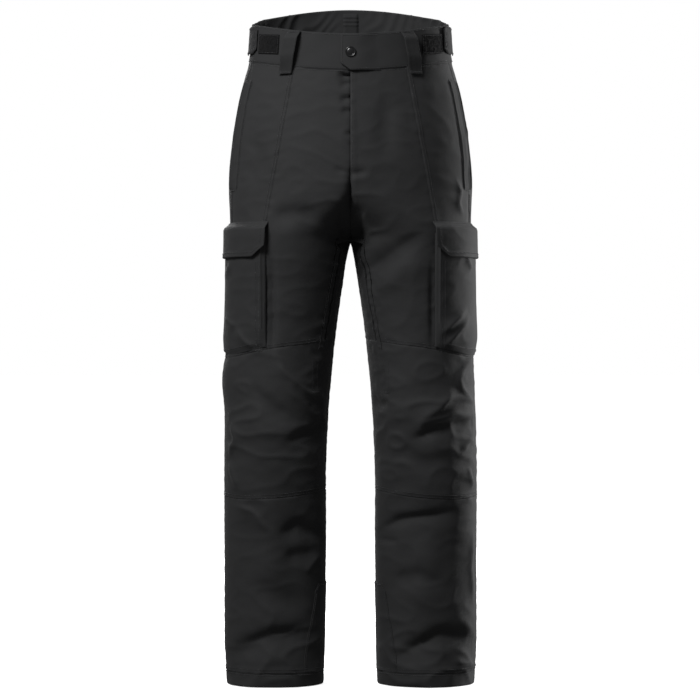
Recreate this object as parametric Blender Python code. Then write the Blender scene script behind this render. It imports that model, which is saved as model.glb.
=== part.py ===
"""Ski pants: shell panels, waistband, pockets, flaps, zips, cuffs and snow gaiters.

Units are metres and +Z is up. The wearer faces -Y, so the wearer's left leg is at +X.
The origin is the centre of the waist opening, level with the snap on the front waistband.

Each leg is a stack of level ellipses. A place on the cloth is given by its angle round the
leg and its height: 0 degrees is the front, 90 the outer side, 180 the back and -90 (or 270)
the inseam. Layers lie at signed offsets from that surface, positive outwards. Above the
crotch the two legs' ellipses merge and each side's panels end at the centre line.
"""

import math

import bmesh
import bpy
from mathutils import Matrix, Vector

# ---- Driving dimensions of the garment -------------------------------------------------

RISE_TOP_Z = -0.200  # above this the two legs' slices are one ellipse
CROTCH_Z = -0.312
UPPER_KNEE_Z = -0.497  # cross seam above the knee
LOWER_KNEE_Z = -0.729  # cross seam below the knee
HEM_STITCH_Z = -1.009
HEM_Z = -1.031
KNEE_AXIS_Z = -0.617

# Half width of the garment, highest station first: (height, distance from the centre line).
OUTER_SIDE = (
    (0.085, 0.156), (0.039, 0.160), (-0.013, 0.1645), (-0.046, 0.1735), (-0.079, 0.182),
    (-0.111, 0.188), (-0.144, 0.193), (-0.209, 0.199), (-0.280, 0.197), (-0.400, 0.1975),
    (-0.500, 0.201), (-0.635, 0.206), (-0.830, 0.206), (-0.962, 0.206), (-1.031, 0.202),
)  # fmt: skip
# Half the gap between the legs, from the crotch down.
INSEAM = (
    (-0.312, 0.0), (-0.340, 0.0065), (-0.373, 0.0115), (-0.439, 0.0213), (-0.504, 0.0286),
    (-0.569, 0.0344), (-0.635, 0.0384), (-0.700, 0.0400), (-0.830, 0.0400), (-1.031, 0.0440),
)  # fmt: skip
# How far the cloth lies in front of and behind the wearer's side plane.
FRONT_DEPTH = (
    (0.085, 0.102), (0.000, 0.105), (-0.200, 0.125), (-0.312, 0.110), (-0.450, 0.098),
    (-0.620, 0.098), (-0.800, 0.078), (-1.031, 0.083),
)  # fmt: skip
BACK_DEPTH = (
    (0.085, 0.112), (0.000, 0.116), (-0.090, 0.135), (-0.200, 0.150), (-0.312, 0.128),
    (-0.450, 0.112), (-0.620, 0.088), (-0.800, 0.105), (-1.031, 0.097),
)  # fmt: skip

SHELL = (-0.0024, 0.0)  # inner and outer offset of the shell cloth
BAND = (-0.0014, 0.0012)
SEAM_GAP = 0.0005  # half the gap between two pieces that meet at a seam
SEAM_GAP_ANGLE = 0.3

PRINCESS_SEAM = ((-0.04, 30.0), (-0.28, 28.0), (-0.40, 19.0), (-0.50, 18.0))
SIDE_SEAM = 74.0

# Waistband
FRONT_TOP_Z, FRONT_TOP_RISE = 0.020, 0.022
BACK_TOP_Z, BACK_TOP_DROP = 0.083, 0.029
FRONT_SEAM_Z, SIDE_SEAM_Z, BACK_SEAM_Z = -0.039, -0.0175, 0.018
BAND_SIDE_ANGLE = 85.0
UNDERLAP_X = 0.029  # how far the right band runs under the tab, past the centre line
TAB_FREE_X, TAB_HINGE_X = 0.0152, 0.045
TAB_OPEN_OFFSET = (0.0034, 0.0054)
SNAP_Z = -0.010
SNAP_CAP_RADIUS, SNAP_STUD_RADIUS = 0.0085, 0.005

# Belt loops
LOOP_WIDTH, LOOP_THICKNESS, LOOP_STAND_OFF = 0.022, 0.0018, 0.0090
LOOP_ANGLES = {"front": 38.0, "rear": 145.0}

# Cargo pocket and its flap
POCKET_ANGLES = (20.0, 105.0)
POCKET_TOP_Z, FLAP_TOP_Z, FLAP_BOTTOM_Z = -0.3065, -0.281, -0.338
POCKET_STAND_OFF = 0.0072
POCKET_CLOTH = 0.0015
POCKET_FOOT = 0.0012
FLAP_OFFSET = 0.0103
FLAP_CLOTH = 0.0018

# Zips: a coil ridge on a tape, and a slider straddling the ridge
TAPE_WIDTH, TAPE_THICKNESS = 0.022, 0.0009
COIL_WIDTH, COIL_HEIGHT = 0.005, 0.0021
SLIDER_LENGTH, SLIDER_WIDTH, SLIDER_CLEARANCE = 0.011, 0.0090, 0.0003
PULL_WIDTH, PULL_LENGTH, PULL_THICKNESS = 0.0052, 0.024, 0.0013
HAND_SLOT, VENT_SLOT = 0.006, 0.008  # half the slot that each zip's slider runs in
HAND_ZIP_Z = (-0.056, -0.222)
HAND_SLOT_Z = (-0.050, -0.228)
VENT_ZIP_TOP = (0.0146, -0.303)  # distance from the centre line, height
VENT_ZIP_BOTTOM = (0.0480, -0.487)
VENT_SLOT_TOP_Z = -0.297
FLY_ZIP_Z = (-0.062, -0.205)

MATERIALS = {
    "shell": ((0.036, 0.036, 0.038), 0.82, 0.0),
    "trim": ((0.028, 0.028, 0.030), 0.88, 0.0),
    "fuzzy": ((0.010, 0.010, 0.011), 0.95, 0.0),
    "lining": ((0.050, 0.050, 0.053), 0.90, 0.0),
    "coil": ((0.016, 0.016, 0.017), 0.50, 0.0),
    "metal": ((0.030, 0.030, 0.032), 0.35, 0.9),
}


# ---- The garment's surface -------------------------------------------------------------


def smooth(stations, height):
    """Value at a height on the smooth curve through stations given highest first."""
    if height >= stations[0][0]:
        return stations[0][1]
    if height <= stations[-1][0]:
        return stations[-1][1]
    last = len(stations) - 1
    index = next(i for i in range(last) if stations[i + 1][0] <= height)
    (z0, v0), (z1, v1) = stations[index], stations[index + 1]

    def slope(i):
        above, below = stations[max(i - 1, 0)], stations[min(i + 1, last)]
        return (above[1] - below[1]) / (above[0] - below[0])

    span = z1 - z0
    t = (height - z0) / span
    start = (1 + 2 * t) * (1 - t) ** 2 * v0 + t * (1 - t) ** 2 * span * slope(index)
    end = t * t * (3 - 2 * t) * v1 + t * t * (t - 1) * span * slope(index + 1)
    return start + end


def leg_slice(height):
    """Centre, half width, front depth and back depth of one leg's ellipse at a height."""
    outer = smooth(OUTER_SIDE, height)
    if height >= RISE_TOP_Z:
        inner = -outer
    elif height > CROTCH_Z:
        t = (height - CROTCH_Z) / (RISE_TOP_Z - CROTCH_Z)
        inner = -outer * t * t * (3 - 2 * t)
    else:
        inner = smooth(INSEAM, height)
    depths = smooth(FRONT_DEPTH, height), smooth(BACK_DEPTH, height)
    return (outer + inner) / 2, (outer - inner) / 2, *depths


def place(side, angle, height, offset=0.0):
    """Point at an angle and height, an offset away from the cloth. side is +1 or -1."""
    centre, half, front, back = leg_slice(height)
    turn = math.radians(angle)
    depth = (front if math.cos(turn) > 0 else back) + offset
    across = centre + (half + offset) * math.sin(turn)
    return Vector((side * across, -depth * math.cos(turn), height))


def outward(side, angle, height):
    """Level unit normal of the cloth."""
    _, half, front, back = leg_slice(height)
    turn = math.radians(angle)
    depth = front if math.cos(turn) > 0 else back
    return Vector((side * math.sin(turn) / half, -math.cos(turn) / depth, 0)).normalized()


def angle_at_x(across, height):
    """Front angle at which the cloth lies this far from the centre line."""
    centre, half, _, _ = leg_slice(height)
    return math.degrees(math.asin(max(-1.0, min(1.0, (across - centre) / half))))


def angle_of(length, angle, height):
    """Angle that covers a length along the cloth near a place."""
    step = (place(1, angle + 0.5, height) - place(1, angle - 0.5, height)).length
    return length / step


def centre_front(height):
    """Angle of the front panels' inner edge: the centre line, or the inseam below it."""
    if height <= CROTCH_Z:
        return -90 + SEAM_GAP_ANGLE
    return angle_at_x(SEAM_GAP, height)


def centre_back(height):
    return 180 - centre_front(height)


def princess_seam(height):
    return smooth(PRINCESS_SEAM, height)


def vent_line(height):
    """Angle of the thigh vent, which runs straight from the crotch to the knee seam."""
    (x0, z0), (x1, z1) = VENT_ZIP_TOP, VENT_ZIP_BOTTOM
    across = x0 + (x1 - x0) * (z0 - height) / (z0 - z1)
    return angle_at_x(across, height)


def band_top(angle):
    turn = math.radians(angle)
    if angle <= BAND_SIDE_ANGLE:
        return FRONT_TOP_Z + FRONT_TOP_RISE * math.sin(turn) ** 2
    return BACK_TOP_Z - BACK_TOP_DROP * math.sin(turn) ** 2


def band_seam(angle):
    turn = math.radians(angle)
    end = FRONT_SEAM_Z if math.cos(turn) > 0 else BACK_SEAM_Z
    return end + (SIDE_SEAM_Z - end) * math.sin(turn) ** 2


# ---- Making objects --------------------------------------------------------------------


def material(name, kind):
    colour, roughness, metallic = MATERIALS[kind]
    made = bpy.data.materials.new(f"{name}_{kind}")
    made.use_nodes = True
    shader = made.node_tree.nodes["Principled BSDF"]
    shader.inputs["Base Color"].default_value = (*colour, 1)
    shader.inputs["Roughness"].default_value = roughness
    shader.inputs["Metallic"].default_value = metallic
    return made


def add_object(name, points, faces, kind, matrix=None, origin=None):
    """Links a closed mesh. points are local to matrix, or else world points about origin."""
    shift = Vector(origin) if origin is not None else Vector()
    mesh = bpy.data.meshes.new(name)
    mesh.from_pydata([Vector(point) - shift for point in points], [], faces)
    shell = bmesh.new()
    shell.from_mesh(mesh)
    bmesh.ops.recalc_face_normals(shell, faces=shell.faces)
    shell.to_mesh(mesh)
    shell.free()
    mesh.shade_smooth()
    mesh.set_sharp_from_angle(angle=math.radians(35))
    mesh.materials.append(material(name, kind))
    made = bpy.data.objects.new(name, mesh)
    if matrix is None:
        made.location = shift
    else:
        made.location = matrix.to_translation()
        made.rotation_euler = matrix.to_euler()
    bpy.context.collection.objects.link(made)
    return made


def add_pivot(name, location):
    pivot = bpy.data.objects.new(name, None)
    pivot.location = location
    pivot.empty_display_size = 0.03
    bpy.context.collection.objects.link(pivot)
    return pivot


def hang_on(pivot, *pieces):
    """Parents pieces to a pivot without moving them."""
    for piece in pieces:
        piece.parent = pivot
        piece.location = piece.location - pivot.location


def skin(name, high, low, kind, closed=False, origin=None):
    """Closed sheet from two matching grids of world points, given row by row."""
    rows, columns = len(high), len(high[0])
    points = [point for grid in (high, low) for row in grid for point in row]

    def index(layer, row, column):
        return (layer * rows + row) * columns + column % columns

    spans = columns if closed else columns - 1
    faces = []
    for row in range(rows - 1):
        for column in range(spans):
            corners = ((row, column), (row, column + 1), (row + 1, column + 1), (row + 1, column))
            faces.append([index(0, *corner) for corner in corners])
            faces.append([index(1, *corner) for corner in reversed(corners)])
    rims = [[(row, column) for column in range(spans + 1)] for row in (0, rows - 1)]
    if not closed:
        rims += [[(row, column) for row in range(rows)] for column in (0, columns - 1)]
    for rim in rims:
        for start, end in zip(rim, rim[1:]):
            faces.append([index(0, *start), index(0, *end), index(1, *end), index(1, *start)])
    return add_object(name, points, faces, kind, origin=origin)


def always(value):
    return lambda _: value


def span(start, end, steps):
    return [start + (end - start) * i / steps for i in range(steps + 1)]


def cloth(side, rows, edges, columns, offset):
    """Grid of points between two edges. Each row is a height, or a height for each angle."""
    start, end = edges
    grid = []
    for row in rows:
        points = []
        for share in span(0, 1, columns):
            angle = 45.0
            for _ in range(6):
                height = row(angle) if callable(row) else row
                angle = start(height) + (end(height) - start(height)) * share
            points.append(place(side, angle, height, offset(share, height)))
        grid.append(points)
    return grid


def panel(name, side, rows, edges, columns, layer, kind, closed=False, origin=None):
    low = cloth(side, rows, edges, columns, always_offset(layer[0]))
    high = cloth(side, rows, edges, columns, always_offset(layer[1]))
    return skin(name, high, low, kind, closed, origin)


def always_offset(offset):
    return offset if callable(offset) else lambda _share, _height: offset


def prism(name, profile, length, matrix, kind):
    """Profile in the local X, Z plane, drawn out along local +Y from the matrix's origin."""
    count = len(profile)
    points = [(x, y, z) for y in (0.0, length) for x, z in profile]
    sides = [[i, (i + 1) % count, count + (i + 1) % count, count + i] for i in range(count)]
    ends = [list(range(count)), list(range(count, 2 * count))]
    return add_object(name, points, sides + ends, kind, matrix)


def frame(origin, along, normal):
    """Matrix whose Y runs along a line and whose Z is the normal, squared up to it."""
    y_axis = along.normalized()
    z_axis = (normal - normal.dot(y_axis) * y_axis).normalized()
    x_axis = y_axis.cross(z_axis)
    turn = Matrix((x_axis, y_axis, z_axis)).transposed()
    return Matrix.Translation(origin) @ turn.to_4x4()


def disc(name, radius, thickness, matrix, kind):
    """Round button standing on the local X, Y plane, with a rounded outer rim."""
    points, faces = [], []
    rim = 0.35 * thickness
    rings = ((radius, 0.0), (radius, thickness - rim), (radius - rim, thickness))
    sides = 24
    for ring_radius, height in rings:
        for i in range(sides):
            turn = 2 * math.pi * i / sides
            points.append((ring_radius * math.cos(turn), ring_radius * math.sin(turn), height))
    for ring in range(len(rings) - 1):
        for i in range(sides):
            j = (i + 1) % sides
            a, b = ring * sides, (ring + 1) * sides
            faces.append([a + i, a + j, b + j, b + i])
    faces.append(list(range(sides)))
    faces.append(list(range(2 * sides, 3 * sides)))
    return add_object(name, points, faces, kind, matrix)


# ---- Zips ------------------------------------------------------------------------------


def zip_line(top, bottom, normal):
    """Frame at a zip's upper end, and its length. Local Y runs down the coil, Z outwards."""
    return frame(top, bottom - top, normal), (bottom - top).length


def add_zip(name, matrix, length):
    """Tape with the coil as a ridge on it. Its outer tape face is the local Z = 0 plane."""
    half_tape, half_coil = TAPE_WIDTH / 2, COIL_WIDTH / 2
    profile = (
        (-half_tape, -TAPE_THICKNESS), (half_tape, -TAPE_THICKNESS), (half_tape, 0),
        (half_coil, 0), (half_coil - 0.0008, COIL_HEIGHT), (0.0008 - half_coil, COIL_HEIGHT),
        (-half_coil, 0), (-half_tape, 0),
    )  # fmt: skip
    return prism(name, profile, length, matrix, "coil")


def add_slider(name, matrix):
    """Slider straddling the coil at the zip's upper end, with two ribs beside its pull."""
    half, gap = SLIDER_WIDTH / 2, SLIDER_CLEARANCE
    inside = COIL_WIDTH / 2 + gap
    roof = COIL_HEIGHT + gap
    top = roof + 0.0012
    rib = PULL_WIDTH / 2 + gap
    rib_top = top + PULL_THICKNESS + gap
    profile = (
        (-half, gap), (-inside, gap), (-inside, roof), (inside, roof), (inside, gap),
        (half, gap), (half, rib_top), (rib, rib_top), (rib, top), (-rib, top),
        (-rib, rib_top), (-half, rib_top),
    )  # fmt: skip
    return prism(name, profile, SLIDER_LENGTH, matrix @ Matrix.Translation((0, 0.002, 0)), "metal")


def add_pull(name, matrix):
    """Pull tab lying between the slider's ribs, hinged across their upper ends."""
    low = COIL_HEIGHT + SLIDER_CLEARANCE + 0.0012 + SLIDER_CLEARANCE
    middle = low + PULL_THICKNESS / 2
    hinge = matrix @ Matrix.Translation((0, 0.004, middle))
    half, thick = PULL_WIDTH / 2, PULL_THICKNESS / 2
    tip = PULL_LENGTH - 0.0015
    outline = (
        (-half, -0.0004), (half, -0.0004), (half, tip), (half - 0.0012, PULL_LENGTH),
        (0.0012 - half, PULL_LENGTH), (-half, tip),
    )  # fmt: skip
    points = [(x, y, z) for z in (-thick, thick) for x, y in outline]
    count = len(outline)
    faces = [[i, (i + 1) % count, count + (i + 1) % count, count + i] for i in range(count)]
    faces += [list(range(count)), list(range(count, 2 * count))]
    return add_object(name, points, faces, "metal", hinge)


# ---- Parts of one side -----------------------------------------------------------------


def upper_leg(side, label):
    """Front, inner thigh, hip and back panels, from the waistband seam to the knee seam."""
    seam = lambda angle: band_seam(angle) - SEAM_GAP
    knee = UPPER_KNEE_Z + SEAM_GAP

    def front_edge(height):
        if height >= VENT_SLOT_TOP_Z:
            return centre_front(height)
        middle = vent_line(height)
        return middle + angle_of(VENT_SLOT, middle, height)

    def vent_edge(height):
        middle = vent_line(height)
        return middle - angle_of(VENT_SLOT, middle, height)

    def side_edge(height, way):
        slot = HAND_SLOT_Z[1] < height < HAND_SLOT_Z[0]
        gap = angle_of(HAND_SLOT, SIDE_SEAM, height) if slot else SEAM_GAP_ANGLE
        return SIDE_SEAM + way * gap

    step = 0.0006  # rows this close together turn a slot's end square
    thigh_rows = [knee, -0.450, -0.400, -0.350, CROTCH_Z - step]
    slot_low, slot_high = HAND_SLOT_Z[1], HAND_SLOT_Z[0]
    hip_rows = [VENT_SLOT_TOP_Z - step, VENT_SLOT_TOP_Z, -0.275, -0.252, slot_low]
    hip_rows += [slot_low + step, -0.185, -0.140, -0.095, slot_high - step, slot_high, seam]
    rows = thigh_rows + hip_rows

    edges = (front_edge, lambda z: princess_seam(z) - SEAM_GAP_ANGLE)
    panel(f"front_panel_{label}", side, rows, edges, 6, SHELL, "shell")
    edges = (lambda z: princess_seam(z) + SEAM_GAP_ANGLE, lambda z: side_edge(z, -1))
    panel(f"hip_panel_{label}", side, rows, edges, 4, SHELL, "shell")
    edges = (lambda z: side_edge(z, 1), centre_back)
    panel(f"back_panel_{label}", side, rows, edges, 12, SHELL, "shell")
    edges = (lambda z: centre_front(z) + SEAM_GAP_ANGLE, vent_edge)
    inner_rows = [*thigh_rows, VENT_SLOT_TOP_Z - 3 * step]
    panel(f"inner_thigh_{label}", side, inner_rows, edges, 3, SHELL, "shell")


def lower_leg(side, label):
    """Knee panels, then the parts below the lower knee seam, hung on the knee's axis."""
    front = (always(-90 + SEAM_GAP_ANGLE), always(90 - SEAM_GAP_ANGLE))
    back = (always(90 + SEAM_GAP_ANGLE), always(270 - SEAM_GAP_ANGLE))
    knee_rows = span(LOWER_KNEE_Z + SEAM_GAP, UPPER_KNEE_Z - SEAM_GAP, 5)
    panel(f"knee_front_{label}", side, knee_rows, front, 12, SHELL, "shell")
    panel(f"knee_back_{label}", side, knee_rows, back, 12, SHELL, "shell")

    shin_rows = span(HEM_STITCH_Z + SEAM_GAP, LOWER_KNEE_Z - SEAM_GAP, 5)
    shin = panel(f"shin_panel_{label}", side, shin_rows, front, 12, SHELL, "shell")
    calf = panel(f"calf_panel_{label}", side, shin_rows, back, 12, SHELL, "shell")

    patch_edges = (always(225), always(330))
    patch_rows = span(HEM_STITCH_Z + 0.002, -0.862, 3)
    patch = panel(
        f"kick_patch_{label}", side, patch_rows, patch_edges, 7, (0.0012, 0.0024), "trim"
    )

    ring = (always(0), always(360))
    hem_rows = [HEM_Z, HEM_STITCH_Z - SEAM_GAP]
    hem = ring_panel(f"hem_cuff_{label}", side, hem_rows, ring, always(SHELL[0]), always(0), "trim")

    def gather(height):
        """The gaiter is sewn to the shell at its top and gathered in below."""
        share = (-0.870 - height) / 0.145
        return -0.0052 - 0.016 * share

    gaiter = ring_panel(
        f"snow_gaiter_{label}", side, span(-1.015, -0.870, 4), ring, gather,
        lambda z: gather(z) + 0.0014, "lining",
    )  # fmt: skip
    centre, _, _, _ = leg_slice(KNEE_AXIS_Z)
    pivot = add_pivot(f"knee_pivot_{label}", (side * centre, 0, KNEE_AXIS_Z))
    hang_on(pivot, shin, calf, patch, hem, gaiter)


def ring_panel(name, side, rows, edges, low, high, kind):
    """Sheet that goes all the way round a leg, in 15 degree steps."""
    steps = 24
    low_grid = cloth(side, rows, edges, steps, lambda _share, z: low(z))
    high_grid = cloth(side, rows, edges, steps, lambda _share, z: high(z))
    low_grid = [row[:-1] for row in low_grid]
    high_grid = [row[:-1] for row in high_grid]
    return skin(name, high_grid, low_grid, kind, closed=True)


def cargo_pocket(side, label):
    """Bellows pocket that stands off the thigh, open along its top, and its flap."""
    start, end = POCKET_ANGLES
    columns = 8
    rows = [UPPER_KNEE_Z + 0.004, UPPER_KNEE_Z + 0.012, -0.440, -0.390, -0.340, POCKET_TOP_Z]

    def lift(share, height):
        at_side = share < 0.5 / columns or share > 1 - 0.5 / columns
        at_bottom = height < UPPER_KNEE_Z + 0.008
        return POCKET_FOOT if at_side or at_bottom else POCKET_STAND_OFF

    edges = (always(start), always(end))
    inner = cloth(side, rows, edges, columns, lift)
    outer = cloth(side, rows, edges, columns, lambda s, z: lift(s, z) + POCKET_CLOTH)
    skin(f"cargo_pocket_{label}", outer, inner, "shell")

    middle = (start + end) / 2
    hinge = place(side, middle, FLAP_TOP_Z, POCKET_FOOT)
    corner = 0.016

    def flap_low(share, height):
        drop = min(1.0, (FLAP_TOP_Z - height) / 0.010)
        return POCKET_FOOT + (FLAP_OFFSET - POCKET_FOOT) * drop

    def bottom(angle):
        run = angle - start - 1.5
        return FLAP_BOTTOM_Z + corner * max(0.0, 1 - run / 14.0)

    flap_rows = [bottom, -0.310, FLAP_TOP_Z - 0.010, FLAP_TOP_Z]
    flap_edges = (always(start - 1.5), always(end + 1.5))
    low = cloth(side, flap_rows, flap_edges, 8, flap_low)
    high = cloth(side, flap_rows, flap_edges, 8, lambda s, z: flap_low(s, z) + FLAP_CLOTH)
    skin(f"cargo_flap_{label}", high, low, "shell", origin=hinge)


def side_zip(side, label):
    """Hand pocket zip in the side seam, with the pocket bag behind it."""
    high_z, low_z = HAND_ZIP_Z
    sink = -0.0050
    top = place(side, SIDE_SEAM, high_z, sink)
    bottom = place(side, SIDE_SEAM, low_z, sink)
    matrix, length = zip_line(top, bottom, outward(side, SIDE_SEAM, (high_z + low_z) / 2))
    add_zip(f"hand_zip_{label}", matrix, length)
    add_slider(f"hand_slider_{label}", matrix)
    add_pull(f"hand_pull_{label}", matrix)
    rows = [-0.268, -0.230, -0.170, -0.110, -0.055]
    edges = (always(36.0), always(82.0))
    panel(f"hand_pocket_bag_{label}", side, rows, edges, 4, (-0.0145, -0.0128), "lining")


def vent_zip(side, label):
    """Thigh vent zip beside the inseam."""
    sink = -0.0125
    ends = []
    for across, height in (VENT_ZIP_TOP, VENT_ZIP_BOTTOM):
        ends.append(place(side, angle_at_x(across, height), height, sink))
    middle = (VENT_ZIP_TOP[1] + VENT_ZIP_BOTTOM[1]) / 2
    matrix, length = zip_line(*ends, outward(side, vent_line(middle), middle))
    add_zip(f"vent_zip_{label}", matrix, length)
    add_slider(f"vent_slider_{label}", matrix)
    add_pull(f"vent_pull_{label}", matrix)


def adjuster(side, label):
    """Landing patch on the front band, and the tab that wraps forward from the back band."""
    middle = 0.0165
    patch_rows = [-0.002 + 0.001, 0.026]
    edges = (always(44.5), always(64.5))
    panel(f"loop_patch_{label}", side, patch_rows, edges, 3, (0.0018, 0.0030), "fuzzy")
    hinge_angle = 93.0
    hinge = place(side, hinge_angle, middle, 0.0034)
    edges = (always(66.5), always(hinge_angle))
    half = 0.0225

    def corner(angle, way):
        return middle + way * (half - 0.006 * max(0.0, 1 - (angle - 66.5) / 5.0))

    rows = [lambda a: corner(a, -1), middle, lambda a: corner(a, 1)]
    panel(f"adjuster_tab_{label}", side, rows, edges, 5, (0.0026, 0.0042), "trim", origin=hinge)


def belt_loop(name, side, angle):
    """Strap sewn to the band at both ends and standing off it between them."""
    top, bottom = band_top(angle) - 0.002, band_seam(angle) - 0.004
    foot = BAND[1] + 0.0006
    rise = 0.009
    path = (
        (top, foot), (top - 0.004, foot), (top - rise, LOOP_STAND_OFF + BAND[1]),
        (bottom + rise, LOOP_STAND_OFF + BAND[1]), (bottom + 0.004, foot), (bottom, foot),
    )  # fmt: skip
    normal = outward(side, angle, (top + bottom) / 2)
    across = Vector((-normal.y, normal.x, 0)) * LOOP_WIDTH / 2
    lean = 0.0015  # the strap's middle lies on the band's curve, and its edges lift off it
    grids = []
    for layer in (LOOP_THICKNESS + lean, lean):
        grid = []
        for height, offset in path:
            middle = place(side, angle, height, offset) + normal * layer
            grid.append([middle - across, middle + across])
        grids.append(grid)
    return skin(name, grids[0], grids[1], "trim")


def waistband_side(side, label):
    """Front half of the waistband on one side, from the side to the front opening."""
    start_x = -UNDERLAP_X if side < 0 else UNDERLAP_X + 2 * SEAM_GAP
    start = math.degrees(math.asin(start_x / smooth(OUTER_SIDE, 0.0)))
    edges = (always(start), always(BAND_SIDE_ANGLE))
    columns = 9
    rows = [lambda a: band_seam(a) + SEAM_GAP, -0.0, band_top]
    panel(f"waistband_front_{label}", side, rows, edges, columns, BAND, "shell")


# ---- Parts on the centre line ----------------------------------------------------------


def waistband_back():
    """One band round the back, and the stitched patch inside its middle."""
    start = BAND_SIDE_ANGLE + SEAM_GAP_ANGLE * 2
    edges = (always(start), always(360 - start))
    mirrored = lambda angle: min(angle, 360 - angle)
    seam = lambda angle: band_seam(mirrored(angle)) + SEAM_GAP
    middle = lambda angle: (band_seam(mirrored(angle)) + band_top(mirrored(angle))) / 2
    top = lambda angle: band_top(mirrored(angle))
    panel("waistband_back", 1, [seam, middle, top], edges, 18, BAND, "shell")
    half = 4.6
    rows = [lambda a: seam(a) + 0.012, middle, lambda a: top(a) - 0.006]
    edges = (always(180 - half), always(180 + half))
    panel("back_band_patch", 1, rows, edges, 3, (-0.0042, -0.0022), "trim")


def waist_tab():
    """Pull tab that laps over the front opening, with the snap's cap on it and stud below."""
    hinge_angle = angle_at_x(TAB_HINGE_X, 0.0)
    free_angle = angle_at_x(-TAB_FREE_X, 0.0)
    edges = (always(free_angle), always(hinge_angle))

    def bottom(angle):
        across = place(1, angle, 0.0).x
        if across < 0:
            return -0.0405 + 0.0121 * -across / TAB_FREE_X
        return -0.0405 + 0.0030 * across / TAB_HINGE_X

    rows = [bottom, -0.022, SNAP_Z, 0.017]
    hinge = place(1, hinge_angle, 0.0, TAB_OPEN_OFFSET[1])
    panel("waist_tab", 1, rows, edges, 8, TAB_OPEN_OFFSET, "shell", origin=hinge)
    facing = Matrix.Rotation(math.radians(90), 4, "X")
    surface = place(1, 0.0, SNAP_Z)
    for name, radius, offset, thickness in (
        ("snap_cap", SNAP_CAP_RADIUS, 0.0068, 0.0022),
        ("snap_stud", SNAP_STUD_RADIUS, 0.0018, 0.0010),
    ):
        spot = surface - Vector((0, offset, 0))
        disc(name, radius, thickness, Matrix.Translation(spot) @ facing, "metal")


def fly():
    """Zip behind the front opening, its slider with a fixed pull, and the underlap."""
    high_z, low_z = FLY_ZIP_Z
    normal = Vector((0, -1, 0))
    top = Vector((0, place(1, 0, high_z).y + 0.0100, high_z))
    bottom = Vector((0, place(1, 0, low_z).y + 0.0100, low_z))
    matrix, length = zip_line(top, bottom, normal)
    add_zip("fly_zip", matrix, length)
    add_slider("fly_slider", matrix)
    back = [matrix @ Vector((0, y, -0.0030)) for y in (-0.012, length + 0.004)]
    underlap, underlap_length = zip_line(*back, normal)
    half = 0.021
    profile = ((-half, -0.0012), (half, -0.0012), (half, 0), (-half, 0))
    prism("fly_underlap", profile, underlap_length, underlap, "trim")


def build():
    for old in list(bpy.data.objects):
        bpy.data.objects.remove(old, do_unlink=True)
    for side, label in ((-1, "right"), (1, "left")):
        waistband_side(side, label)
        upper_leg(side, label)
        lower_leg(side, label)
        cargo_pocket(side, label)
        side_zip(side, label)
        vent_zip(side, label)
        adjuster(side, label)
        for name, angle in LOOP_ANGLES.items():
            belt_loop(f"belt_loop_{name}_{label}", side, angle)
    belt_loop("belt_loop_centre_back", 1, 180.0)
    waistband_back()
    waist_tab()
    fly()


build()
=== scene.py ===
"""Ski pants, the looks: every cloth panel, trim and fastening as its own detailed piece.

Units are metres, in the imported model's frame: +Z is up, the wearer faces -Y, and the
wearer's left leg is at +X. A place on the cloth is given by its angle round the leg and
its height, as in the part's own source: 0 degrees is the front, 90 the outer side, 180 the
back and -90 (or 270) the inseam. side is +1 for the wearer's left and -1 for the right.
"""

import math
from collections import namedtuple

import bmesh
import bpy
import numpy as np
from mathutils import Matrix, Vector


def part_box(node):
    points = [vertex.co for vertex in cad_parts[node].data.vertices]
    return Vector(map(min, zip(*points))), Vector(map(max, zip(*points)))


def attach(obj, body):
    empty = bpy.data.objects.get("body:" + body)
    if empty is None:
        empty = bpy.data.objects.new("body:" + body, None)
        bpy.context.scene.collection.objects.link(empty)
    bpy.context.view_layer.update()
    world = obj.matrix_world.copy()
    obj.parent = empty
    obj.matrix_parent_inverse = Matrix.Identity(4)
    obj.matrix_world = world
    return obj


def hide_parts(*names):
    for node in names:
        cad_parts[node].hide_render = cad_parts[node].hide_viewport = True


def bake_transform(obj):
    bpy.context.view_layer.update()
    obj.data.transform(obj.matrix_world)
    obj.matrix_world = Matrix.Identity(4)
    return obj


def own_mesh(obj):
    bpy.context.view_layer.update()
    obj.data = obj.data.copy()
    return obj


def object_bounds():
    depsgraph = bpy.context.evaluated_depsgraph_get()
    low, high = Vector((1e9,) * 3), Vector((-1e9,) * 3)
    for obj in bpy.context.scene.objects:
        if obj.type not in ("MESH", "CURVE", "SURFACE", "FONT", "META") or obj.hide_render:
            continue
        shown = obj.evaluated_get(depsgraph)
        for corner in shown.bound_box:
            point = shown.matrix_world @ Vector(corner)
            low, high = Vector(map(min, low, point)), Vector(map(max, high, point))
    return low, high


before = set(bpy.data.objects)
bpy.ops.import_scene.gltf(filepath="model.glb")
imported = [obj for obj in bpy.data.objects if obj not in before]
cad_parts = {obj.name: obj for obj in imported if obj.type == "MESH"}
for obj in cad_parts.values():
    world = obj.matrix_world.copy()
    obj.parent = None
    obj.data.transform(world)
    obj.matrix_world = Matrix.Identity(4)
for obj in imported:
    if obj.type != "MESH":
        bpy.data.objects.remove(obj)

CAD_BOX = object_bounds()
SIDES = ((-1, "right"), (1, "left"))
MM = 0.001


def stations(*pairs):
    """(height, value) pairs in metres, from millimetres, highest first."""
    return np.array(pairs, float) / 1000


# ---- The garment's driving dimensions, as in the part ----------------------------------

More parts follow.
